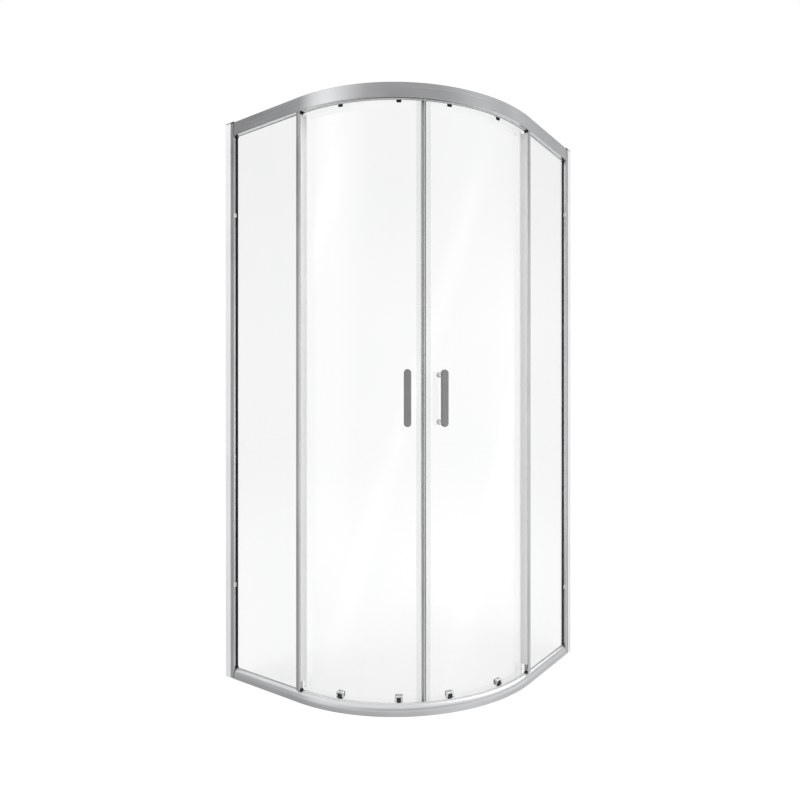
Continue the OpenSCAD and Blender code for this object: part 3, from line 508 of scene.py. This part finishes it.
def softened(outline_at, low, high, back, front):
    """Rings of outline_at(inset) from low to high, with a rounded edge at the back and the front."""
    depth_b, inset_b = edge(back)
    depth_f, inset_f = edge(front)
    along = np.concatenate([low + depth_b, high - depth_f[::-1]])
    inset = np.concatenate([inset_b, inset_f[::-1]])
    return np.stack([np.insert(outline_at(i), 0, a, axis=1) for a, i in zip(along, inset)])


def block(low, high, radius, back, front):
    """A block between two corner points, with its section's corners and its two ends rounded."""
    low, high, radius = np.array(low, float), np.array(high, float), np.asarray(radius, float)
    size, centre = high - low, (low + high) / 2
    return softened(lambda i: rectangle(size[1] - 2 * i, size[2] - 2 * i, np.maximum(radius - i, 0.05))
                    + centre[1:], low[0], high[0], back, front)


print("rings along a block:", len(block((0, 0, 0), (1, 1, 1), 0.1, 0.1, 0.1)))

# %% [markdown]
# ## Handles
# Each handle is a flat bar with half-round ends, cast and then rounded over on a belt. It stands off
# the glass on two round legs. The screws come from the inside through clear washers, which keep
# metal off the glass.

# %% The shapes of a handle
HANDLE_Z, HANDLE_LENGTH, HANDLE_WIDTH, HOLES = 952.0, 172.0, 22.0, 145.0
BAR_BACK, BAR_FRONT = 547.0, 559.0
WASHER, SCREW_HEAD = 1.0, 6.0
# Depth of the recess for a hexagon key, as a share of the radius
KEY = 0.14


def stadium(inset):
    """A bar with half-round ends: two half circles of radius w / 2 - inset, a straight length apart."""
    radius, straight = HANDLE_WIDTH / 2 - inset, (HANDLE_LENGTH - HANDLE_WIDTH) / 2
    t = np.linspace(0, np.pi, 24)
    top = np.stack([radius * np.cos(t), straight + radius * np.sin(t)], -1)
    return np.vstack([top, -top]) + (0, HANDLE_Z)


bar = softened(stadium, BAR_BACK, BAR_FRONT, 1.5, 3.5)
leg = turned([(0, 6.3), (0.2, 6.5), (37.7, 6.5), (41.2, 6.8), (43.7, 7.6), (45.7, 9)])
washer = turned([(0, 3), (0, 8.7), (0.2, 9), (0.8, 9), (WASHER, 8.7), (WASHER, 3)])
handle_screw = turned([(3, 2.9, KEY), (0, 3.1, KEY), (0, 5.4), (0.3, 6.4), (1, 7.3), (2.2, 8), (5.8, 8),
                       (SCREW_HEAD, 7.8), (SCREW_HEAD, 2.5), (27.4, 2.5), (27.8, 2.1)], lobes=6)
print("thickness of a handle's bar in mm:", BAR_FRONT - BAR_BACK)

# %% The handles
# Each handle lies back from the line where the doors meet, at -45 degrees, by the width of the
# magnet's profile, a gap and 43 mm of glass
MEETING, HANDLE_INSET = -45.0, 43.0
MAGNET = {"left": 11.0, "right": 4.0}
hole_heights = (HANDLE_Z - HOLES / 2, HANDLE_Z + HOLES / 2)
washer_faces = (DOOR_OUT + CLEAR, DOOR_IN - CLEAR - WASHER)
leg_foot, screw_end = washer_faces[0] + WASHER, washer_faces[1] - SCREW_HEAD
for side in SIDES:
    angle = MEETING - math.degrees((MAGNET[side] + CLEAR + HANDLE_INSET) / DOOR_R)
    make(f"bar_handle_{side}", [on_door(side, angle, bar)], handle_metal, f"door_{side}",
         f"handle_{side}")
    legs = [on_door(side, angle, leg + (leg_foot, 0, z)) for z in hole_heights]
    make(f"handle_legs_{side}", legs, chrome, f"door_{side}", f"handle_{side}")
    washers = [on_door(side, angle, washer + (r, 0, z), True) for z in hole_heights for r in washer_faces]
    make(f"clear_washers_{side}", washers, clear_plastic, f"door_{side}",
         f"handle_washers_{side}")
    screws = [on_door(side, angle, handle_screw + (screw_end, 0, z)) for z in hole_heights]
    make(f"inside_screws_{side}", screws, screw_steel, f"door_{side}",
         f"handle_screws_{side}")

# %% [markdown]
# ## Top rollers
# A roller is turned from nylon with a rim that is slightly broken at both edges. Its axle runs
# through a black carrier and the glass to a chromed knob on the inside.

# %% The shapes of a roller and what carries it
# Radii of the roller and the knob, and how far from the bend's centre knob, axle and roller begin
ROLLER_R, KNOB_R = 11.5, 12.0
KNOB_BACK, AXLE_BACK, ROLLER_BACK = 487.2, 489.2, 505.5
ROLLER_Z = LEDGE + WALL + ROLLER_R + CLEAR
CARRIER_HALF = 7.5
roller = turned([(0, 3.1), (0, ROLLER_R - 0.8), (0.25, ROLLER_R - 0.25), (0.8, ROLLER_R), (7.2, ROLLER_R),
                 (7.75, ROLLER_R - 0.25), (8, ROLLER_R - 0.8), (8, 5.6), (5.8, 5.5), (5.8, 3.1)])
axle = turned([(0, 2.7), (0.3, 3), (22.4, 3), (22.4, 4.8), (22.6, 5), (23.5, 5), (23.9, 4.5),
               (23.9, 2.2, KEY), (23, 2.1, KEY)], lobes=6)
knob_depth, knob_inset = edge(2.5, 6)
knob = turned([(0.6, 6.5), (0.2, 7.5), *zip(knob_depth, KNOB_R - knob_inset), (7.9, KNOB_R),
               (8.3, KNOB_R - 0.2), (8.5, KNOB_R - 0.7)])
# The carrier's plate and hub stand outside the glass, its boss fills the hole, and its toe lies under
# the rail's ledge
plate = block((DOOR_OUT + CLEAR, -CARRIER_HALF, ROLLER_Z - 25.6), (504.6, CARRIER_HALF, ROLLER_Z + 7),
              2.0, 0.1, 0.5)
toe = block((503, -CARRIER_HALF, LEDGE - CLEAR - 3.5), (510.6, CARRIER_HALF, LEDGE - CLEAR), 0.4, 0.1, 0.6)
boss = turned([(0.4, 6.6), (0.6, 6.7), (6, 6.7)]) + (DOOR_IN, 0, ROLLER_Z)
hub = turned([(-1.5, 5), (-0.4, 5), (-CLEAR, 4.9)]) + (ROLLER_BACK, 0, ROLLER_Z)
print("height of the rollers' axes in mm:", ROLLER_Z)

# %% Rollers, axles, knobs and carriers
REAR_ANGLE, FRONT_ANGLE = -75, -54
PLACES = {f"{side}_{place}": angle for side in SIDES
          for place, angle in (("rear", REAR_ANGLE), ("front", FRONT_ANGLE))}


def at_places(side, rings):
    """The skins of one shape at a door's rear and front place."""
    return [on_door(side, angle, rings) for angle in (REAR_ANGLE, FRONT_ANGLE)]


for place, angle in PLACES.items():
    side = place.split("_")[0]
    make(f"top_wheel_{place}", [on_door(side, angle, roller + (ROLLER_BACK, 0, ROLLER_Z), True)],
         white_nylon, f"roller_{place}_body", f"roller_{place}")
for side in SIDES:
    make(f"steel_axles_{side}", at_places(side, axle + (AXLE_BACK, 0, ROLLER_Z)), screw_steel,
         f"door_{side}", f"roller_axles_{side}")
    make(f"inner_knobs_{side}", at_places(side, knob + (KNOB_BACK, 0, ROLLER_Z)), chrome,
         f"door_{side}", f"roller_knobs_{side}")
    carrier = [part for shape in (plate, toe, boss, hub) for part in at_places(side, shape)]
    make(f"carriers_{side}", carrier, black_nylon, f"door_{side}",
         f"roller_carriers_{side}")

# %% [markdown]
# ## Bottom guides
# A guide holds the glass behind the bottom rail. Its chromed housing is an upside-down U: a zinc
# casting open towards the rail, where the slider's black tab shows. Pushing the tab up lifts the
# wheel out of the rail for cleaning, against a small spring.

# %% The shapes of a guide's housing
GUIDE_LOW, GUIDE_HIGH, GUIDE_HALF, GUIDE_R = 33.5, 51.0, 12.0, 2.5
GUIDE_Z = (GUIDE_LOW + GUIDE_HIGH) / 2
# The housing's cavity is a little higher than the window in its front wall
CAVITY_HALF, CAVITY_TOP, WINDOW_TOP = 6.5, 49.0, 46.5
HOUSING_BACK, WINDOW_BACK, HOUSING_FRONT = 502.7, 507.8, 509.0


def arch(inset, inner_top):
    """The housing's outline of (sideways, height): the outer edge drawn in by inset, the cavity fixed."""
    w, top, radius = GUIDE_HALF - inset, GUIDE_HIGH - inset, GUIDE_R - inset
    return rounded([(-w, GUIDE_LOW), (-CAVITY_HALF, GUIDE_LOW), (-CAVITY_HALF, inner_top),
                    (CAVITY_HALF, inner_top), (CAVITY_HALF, GUIDE_LOW), (w, GUIDE_LOW), (w, top), (-w, top)],
                   [0.3, 0.3, 0.4, 0.4, 0.3, 0.3, radius, radius])


rim_depth, rim_inset = edge(1.0)
stations = [(HOUSING_BACK, 0, CAVITY_TOP), (WINDOW_BACK, 0, CAVITY_TOP), (WINDOW_BACK, 0, WINDOW_TOP)]
stations += [(HOUSING_FRONT - d, i, WINDOW_TOP) for d, i in zip(rim_depth[::-1], rim_inset[::-1])]
housing = np.stack([np.insert(arch(inset, top), 0, r, axis=1) for r, inset, top in stations])
back_wall = block((DOOR_OUT + CLEAR, -GUIDE_HALF, GUIDE_LOW),
                  (HOUSING_BACK + 0.1, GUIDE_HALF, GUIDE_HIGH), [0.3, 0.3, GUIDE_R, GUIDE_R], 0.1, 0.05)
neck = turned([(0.6, 6.6), (0.8, 6.7), (5.6, 6.7)]) + (DOOR_IN, 0, GUIDE_Z)
inner_plate = block((491.2, -GUIDE_HALF, GUIDE_LOW), (DOOR_IN - CLEAR, GUIDE_HALF, GUIDE_HIGH),
                    GUIDE_R, 0.8, 0.2)
plate_screw = turned([(1.2, 2.3, KEY), (0, 2.4, KEY), (0, 4.6), (0.3, 5), (0.8, 5.2), (2.2, 5.2)],
                     lobes=6) + (489.2, 0, GUIDE_Z)
print("stations along a housing:", len(stations))

# %% Housings and back plates
for side in SIDES:
    shapes = [part for shape in (housing, back_wall, neck) for part in at_places(side, shape)]
    make(f"chrome_housings_{side}", shapes, chrome, f"door_{side}", f"guide_housings_{side}")
    shapes = [part for shape in (inner_plate, plate_screw) for part in at_places(side, shape)]
    make(f"inner_plates_{side}", shapes, chrome, f"door_{side}", f"guide_backplates_{side}")

# %% The shapes of a slider, its wheel and its spring
SLIDER_HALF, SLIDER_LOW, SLIDER_TOP, WHEEL_AXIS = 6.2, 10.3, 41.0, 506.7
slide = block((503.1, -SLIDER_HALF, SLIDER_LOW), (507.5, SLIDER_HALF, SLIDER_TOP), 0.8, 0.4, 0.4)
foot = block((506, -SLIDER_HALF, SLIDER_LOW), (509.9, SLIDER_HALF, SLIDER_LOW + 4), 0.6, 0.1, 0.6)
tab = block((506, -SLIDER_HALF, SLIDER_TOP - 6.5), (513.5, SLIDER_HALF, SLIDER_TOP), 1.0, 0.1, 1.2)
# A wheel and its pin are turned about an upright axis, so their first number is a height
UPRIGHT = [1, 2, 0]
pin = turned([(3.9, 3), (4, 3.2), (4, 2), (10.4, 2)])[..., UPRIGHT] + (WHEEL_AXIS, 0, 0)
wheel = turned([(4.3, 2.1), (4.3, 6.4), (4.5, 6.8), (4.9, 7), (9.4, 7), (9.8, 6.8), (10, 6.4),
                (10, 2.1)])[..., UPRIGHT] + (WHEEL_AXIS, 0, 0)


def coil(low, high, turns, radius, wire):
    """A round wire carried along a helix: its centre is (radius cos t, radius sin t) and rises evenly,
    and its own circle is spanned by the outward direction and the upward one."""
    t = np.linspace(0, 2 * np.pi * turns, 48 * turns + 1)[:, None]
    around = np.linspace(0, 2 * np.pi, 12, endpoint=False)[None]
    out = radius + wire / 2 * np.cos(around)
    rise = low + (high - low) * t / t[-1] + wire / 2 * np.sin(around)
    return np.stack([out * np.cos(t), out * np.sin(t), rise], -1)


spring_wire = coil(low=SLIDER_TOP + 0.4, high=CAVITY_TOP - 0.4, turns=3, radius=1.8, wire=0.8)
spring_wire += (505.3, 0, 0)
print("rings along a spring:", len(spring_wire))

# %% Sliders, guide wheels and springs
for place, angle in PLACES.items():
    side = place.split("_")[0]
    make(f"black_slider_{place}", [on_door(side, angle, part) for part in (slide, foot, tab, pin)],
         black_nylon, f"slider_{place}", f"guide_slider_{place}")
    make(f"lower_wheel_{place}", [on_door(side, angle, wheel, True)], white_nylon, f"wheel_{place}",
         f"guide_wheel_{place}")
    spring = make(f"coil_{place}", [on_door(side, angle, spring_wire)], screw_steel, f"door_{side}",
                  f"guide_spring_{place}", sharp=60)
    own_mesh(spring)

# %% [markdown]
# ## Corner pieces, caps, clips, feet and screws of the frame
# The corner pieces join the rails to the wall posts. Each has a flange that closes the rail's end and
# follows its section, and two toes that hold the glass between them. The caps close the channels and
# posts, the milky clips snap into the posts' beds, and rubber feet end the end posts. Small screws
# with a cross recess hold the posts in the channels, so that the enclosure can be set plumb first.

# %% Corner pieces
top_flange = rounded([(0, RAIL_LOW), (BACK, RAIL_LOW), (BACK, LEDGE), (LEDGE_EDGE, LEDGE),
                      (REAR, RAIL_HIGH - 13), (REAR, RAIL_HIGH), (0, RAIL_HIGH)],
                     [1.0, 0.5, 0.5, 0.5, 0.5, 0.8, 1.2])
bottom_flange = np.vstack([front, rounded([(20.9, 33), (21.2, 10), (REAR, 9), (REAR, 0), (0, 0)],
                                          [0.3, 0.5, 0.6, 0.6, 0.8])])
TOE_HEIGHT = 5
toe_levels = (SILL_TOP, RAIL_LOW - TOE_HEIGHT)
corners = []
for side in SIDES:
    for outline, low in zip((bottom_flange, top_flange), toe_levels):
        flange = np.stack([np.insert(outline, 0, s, axis=1) for s in (POST_FACE, RAIL_END)])
        toes = [block((POST_FACE, off, low), (RAIL_END + 3, off + WALL, low + TOE_HEIGHT), 0.3, 0.05, 0.5)
                for off in (PANE - GASKET_SLOT, PANE + BARE_SLOT)]
        corners += [on_side(side, shape) for shape in [flange] + toes]
make("corner_pieces", corners, black_nylon, "frame", "rail_connectors")

# %% Caps, clips and feet
cap = block((RAIL_HIGH, 0, 0), (HEIGHT, POST_FACE, 25), 1.5, 0.05, 1.0)[..., UPRIGHT]
make("top_caps", [on_side(side, cap) for side in SIDES], black_nylon, "frame",
     "channel_caps")
# How far each lower clip is from the floor, and each upper one from the top
clip_insets = (("left", 320), ("right", 252))
clips = [on_side(side, block((POST_FACE, 2.1, z - 7), (POST_FACE + 4, 9.9, z + 7), 1.0, 0.05, 0.8))
         for side, inset in clip_insets for z in (inset, HEIGHT - inset)]
make("bed_clips", clips, clear_plastic, "frame", "post_clips")
# The rubber feet stand against the end posts' faces, at the heights of the corner pieces' toes
FOOT_S = END_FACE + 0.1
feet = [on_side(side, block((FOOT_S, 8, z), (FOOT_S + 4, 19, z + TOE_HEIGHT), 0.6, 0.05, 0.8))
        for side in SIDES for z in toe_levels]
make("rubber_feet", feet, black_rubber, "frame", "end_post_feet")

# %% Frame screws
def cross_screw(length):
    """A pan-head screw along its axis: the head ends at nought, and the thread's core runs to length."""
    cross = 0.35
    return turned([(-1.2, 1, cross), (-2.2, 1.3, cross), (-2.2, 2), (-1.9, 2.8), (-1.2, 3.3), (-0.4, 3.4),
                   (0, 3.2), (0, 1.7), (length - 1, 1.7), (length, 0.6)], lobes=4)


# Screws go through a channel's side into its post, along the wall into the corner pieces, and up and
# down into the end posts' ports. These are the heights of the first two kinds.
CHANNEL_SCREWS, CORNER_SCREWS = (230, 1030, 1670), (9, 1874.5)
across = cross_screw(4.8)[..., [1, 0, 2]] * (1, -1, 1) + (18.5, 25, 0)
along = cross_screw(35) + (26, 6.6, 0)
upward = cross_screw(22)[..., UPRIGHT] + (PORT, PANE, 10)
downward = cross_screw(22)[..., UPRIGHT] * (1, 1, -1) + (PORT, PANE, 1875)
side_screws = [across + (0, 0, z) for z in CHANNEL_SCREWS] + [along + (0, 0, z) for z in CORNER_SCREWS]
screws = [on_side(side, screw) for side in SIDES for screw in side_screws + [upward, downward]]
make("fixing_screws", screws, screw_steel, "frame", "frame_screws")

# %% [markdown]
# ## Floor and light
# Metal looks like whatever stands around it. A photographer puts pale walls, grey cards and soft
# boxes round the object, so the world's brightness varies with direction for reflections only. There
# is one ring of cards below eye level, one at it, one above it, and large soft boxes overhead. The
# camera sees white all round, also through the glass. The floor takes the object's soft shadow.
# The cards stand for what the photograph's metal mirrors. They were set by tones measured
# in the photograph.

# %% The world's rings of cards
world = bpy.data.worlds.new("studio")
bpy.context.scene.world = world
world.use_nodes = True
tree = world.node_tree
tree.nodes.clear()
direction = add(tree, "ShaderNodeTexCoord").outputs["Generated"]
parts = add(tree, "ShaderNodeSeparateXYZ", {"Vector": direction}).outputs
bearing = add(tree, "ShaderNodeMath", {0: parts[1], 1: parts[0]}, operation="ARCTAN2").outputs[0]
# Bearing in degrees from +x, and brightness, of the cards in each ring
LOW = ((-180, 0.8), (-155, 0.46), (-137, 0.46), (-122, 0.56), (-80, 0.56), (-60, 0.69), (-38, 0.72),
       (-24, 0.88), (2, 0.95), (20, 0.8), (100, 0.8), (110, 1.2), (118, 1.1), (124, 0.12), (130, 0.12),
       (136, 1.2), (148, 1.2), (156, 0.8), (180, 0.8))
EYE = ((-180, 0.9), (-155, 0.46), (-133, 0.46), (-125, 1.1), (-104, 1.1), (-88, 0.8), (-60, 0.85),
       (-20, 1.0), (20, 1.1), (40, 1.2), (54, 1.2), (60, 0.8), (100, 0.8), (180, 0.8))
MIDDLE = ((-180, 0.9), (-150, 0.9), (-144, 0.3), (-136, 0.25), (-122, 1.1), (-110, 1.33), (-96, 0.93),
          (-78, 0.36), (-62, 0.24), (-46, 0.28), (-26, 0.43), (-2, 0.64), (24, 0.67), (55, 0.63), (180, 0.7))
HIGH = ((-180, 1.3), (-154, 1.3), (-148, 1.4), (-120, 1.2), (-40, 1.1), (-5, 1.2), (20, 1.5), (40, 2.0),
        (58, 3.2), (80, 3.2), (180, 1.2))


def ring(cards, angle):
    """Brightness by an angle in radians, linear between cards of (degrees, brightness)."""
    share = add(tree, "ShaderNodeMapRange", {"Value": angle, "From Min": -math.pi, "From Max": math.pi})
    ramp = add(tree, "ShaderNodeValToRGB", {"Fac": share.outputs[0]})
    stops = ramp.color_ramp.elements
    stops.remove(stops[1])
    for i, (degrees, level) in enumerate(cards):
        stop = stops[0] if i == 0 else stops.new((degrees + 180) / 360)
        stop.position = (degrees + 180) / 360
        stop.color = (level, level, level, 1)
    return ramp.outputs[0]


# The direction's third part is the sine of the elevation, and each ring gives way to the next between
# two of its values
sine = parts[2]
studio = ring(LOW, bearing)
for cards, low, high in ((EYE, -0.3, -0.12), (MIDDLE, 0.14, 0.34), (HIGH, 0.455, 0.53)):
    share = add(tree, "ShaderNodeMapRange", {"Value": sine, "From Min": low, "From Max": high}).outputs[0]
    upper = ring(cards, bearing)
    studio = add(tree, "ShaderNodeMix", {0: share, 6: studio, 7: upper}, data_type="RGBA").outputs[2]
print("cards:", sum(len(cards) for cards in (LOW, EYE, MIDDLE, HIGH)))

# %% [markdown]
# The photograph's panes show three soft slanting streaks. Measured on the doors, each is the mirror
# image of a strip light that leans: its bearing grows by 2.9 degrees for each degree of elevation.

# %% Three leaning strip lights
LEAN, STRIP = 2.9, 0.45
STRIPS = ((-180, 0), (-168, STRIP), (-154, 0), (-61, 0), (-48, STRIP), (-35, 0), (38, 0), (50, STRIP),
          (62, 0), (180, 0))
# The bearings in front of the doors, where the strip lights stand
WHERE = ((-180, 0), (-133, 0), (-128, 1), (52, 1), (58, 0), (180, 0))
elevation = add(tree, "ShaderNodeMath", {0: sine}, operation="ARCSINE").outputs[0]
slant = {0: elevation, 1: -LEAN, 2: bearing}
leaning = add(tree, "ShaderNodeMath", slant, operation="MULTIPLY_ADD").outputs[0]
# The strips fade out towards their upper and lower ends
height = add(tree, "ShaderNodeMath", {0: sine}, operation="ABSOLUTE").outputs[0]
fade = {"Value": height, "From Min": 0.3, "From Max": 0.4, "To Min": 1.0, "To Max": 0.0}
ends = add(tree, "ShaderNodeMapRange", fade).outputs[0]
black, lit = (0, 0, 0, 1), ring(STRIPS, leaning)
strips = add(tree, "ShaderNodeMix", {0: ends, 6: black, 7: lit}, data_type="RGBA").outputs[2]
placed = {0: 1.0, 6: strips, 7: ring(WHERE, bearing)}
strips = add(tree, "ShaderNodeMix", placed, data_type="RGBA", blend_type="MULTIPLY").outputs[2]
added = {0: 1.0, 6: studio, 7: strips}
studio = add(tree, "ShaderNodeMix", added, data_type="RGBA", blend_type="ADD").outputs[2]
print("strip lights:", sum(level > 0 for _, level in STRIPS))

# %% [markdown]
# A ray that comes straight from the camera, or through glass without a reflection, sees plain white.
# A ray that a metal or a pane has reflected sees the cards, and goes through the floor to reach them.

# %% What each kind of ray sees
def straight_view(tree):
    """Two sockets: 1 for a ray seen straight or through glass, and 1 for a ray reflected before."""
    ray = add(tree, "ShaderNodeLightPath").outputs
    depth, passing, first = ray["Glossy Depth"], ray["Is Transmission Ray"], ray["Is Camera Ray"]
    reflected = add(tree, "ShaderNodeMath", {0: depth, 1: 0.5}, operation="GREATER_THAN").outputs[0]
    direct = add(tree, "ShaderNodeMath", {0: 1.0, 1: reflected}, operation="SUBTRACT").outputs[0]
    through = add(tree, "ShaderNodeMath", {0: passing, 1: direct}, operation="MULTIPLY").outputs[0]
    seen = add(tree, "ShaderNodeMath", {0: first, 1: through}, operation="MAXIMUM").outputs[0]
    return seen, reflected


# What lights the object's dull surfaces; the strength of 1 is the white that the camera sees
ROOM_LEVEL = 0.75
seen, reflected = straight_view(tree)
room = add(tree, "ShaderNodeBackground", {"Color": (1, 1, 1, 1), "Strength": ROOM_LEVEL})
mirrored = add(tree, "ShaderNodeBackground", {"Color": studio, "Strength": 1.0})
white = add(tree, "ShaderNodeBackground", {"Color": (1, 1, 1, 1), "Strength": 1.0})
light = add(tree, "ShaderNodeMixShader", {0: reflected, 1: room.outputs[0], 2: mirrored.outputs[0]})
whole = add(tree, "ShaderNodeMixShader", {0: seen, 1: light.outputs[0], 2: white.outputs[0]})
add(tree, "ShaderNodeOutputWorld", {"Surface": whole.outputs[0]})
print("nodes in the world:", len(tree.nodes))

# %% [markdown]
# The floor is a sheet of white paper. The camera sees half of its light as the paper's own, so a
# shadow still shows, and half as an even glow that carries the paper to the white of the background.

# %% The floor
# Half the sheet's side in metres, and the strength at which paper and glow together come out white
HALF, GLOW = 12.0, 1.34
floor_corners = [(-HALF, -HALF, 0), (HALF, -HALF, 0), (HALF, HALF, 0), (-HALF, HALF, 0)]
floor_mesh = bpy.data.meshes.new("floor")
floor_mesh.from_pydata(floor_corners, [], [(0, 1, 2, 3)])
floor = bpy.data.objects.new("floor", floor_mesh)
bpy.context.scene.collection.objects.link(floor)
paper = bpy.data.materials.new("white_paper")
paper.use_nodes = True
tree = paper.node_tree
tree.nodes.clear()
sheet = add(tree, "ShaderNodeBsdfDiffuse", {"Color": linear("#f0f0f0")})
glow = add(tree, "ShaderNodeEmission", {"Color": (1, 1, 1, 1), "Strength": GLOW})
seen, reflected = straight_view(tree)
half_seen = add(tree, "ShaderNodeMath", {0: seen, 1: 0.5}, operation="MULTIPLY").outputs[0]
both = add(tree, "ShaderNodeMixShader", {0: half_seen, 1: sheet.outputs[0], 2: glow.outputs[0]}).outputs[0]
open_way = add(tree, "ShaderNodeBsdfTransparent").outputs[0]
passed = add(tree, "ShaderNodeMixShader", {0: reflected, 1: both, 2: open_way}).outputs[0]
add(tree, "ShaderNodeOutputMaterial", {"Surface": passed})
floor_mesh.materials.append(paper)
floor.visible_glossy = False
print("floor in metres:", 2 * HALF)

# %% [markdown]
# Two large soft boxes light the plastics and the paper, one from the left of the camera and one from
# the right. The metal and the glass don't mirror them, because the cards already stand there.

# %% The lamps
def soft_box(name, place, target, size, watts):
    """A square area lamp that faces its target. It lights the object but doesn't show in the metal."""
    lamp_data = bpy.data.lights.new(name, "AREA")
    lamp_data.size = size
    lamp_data.energy = watts
    lamp = bpy.data.objects.new(name, lamp_data)
    lamp.location = place
    x, y, z = np.array(target) - np.array(place)
    lamp.rotation_euler = (math.atan2(math.hypot(x, y), -z), 0, math.atan2(y, x) - math.pi / 2)
    lamp.visible_glossy = False
    lamp.visible_transmission = False
    bpy.context.scene.collection.objects.link(lamp)


MIDDLE_HEIGHT, BOX_SIZE = 0.9, 2.4
soft_box("key", (-1.5, -3.5, 3.6), (0, 0, MIDDLE_HEIGHT), BOX_SIZE, 60)
soft_box("fill", (3.6, -0.5, 2.6), (0, 0, MIDDLE_HEIGHT), BOX_SIZE, 40)
print("lamps:", len(bpy.data.lights))

# %% [markdown]
# ## View
# The Standard view shows each colour as it was set, so white paper comes out white.

bpy.context.scene.view_settings.view_transform = "Standard"
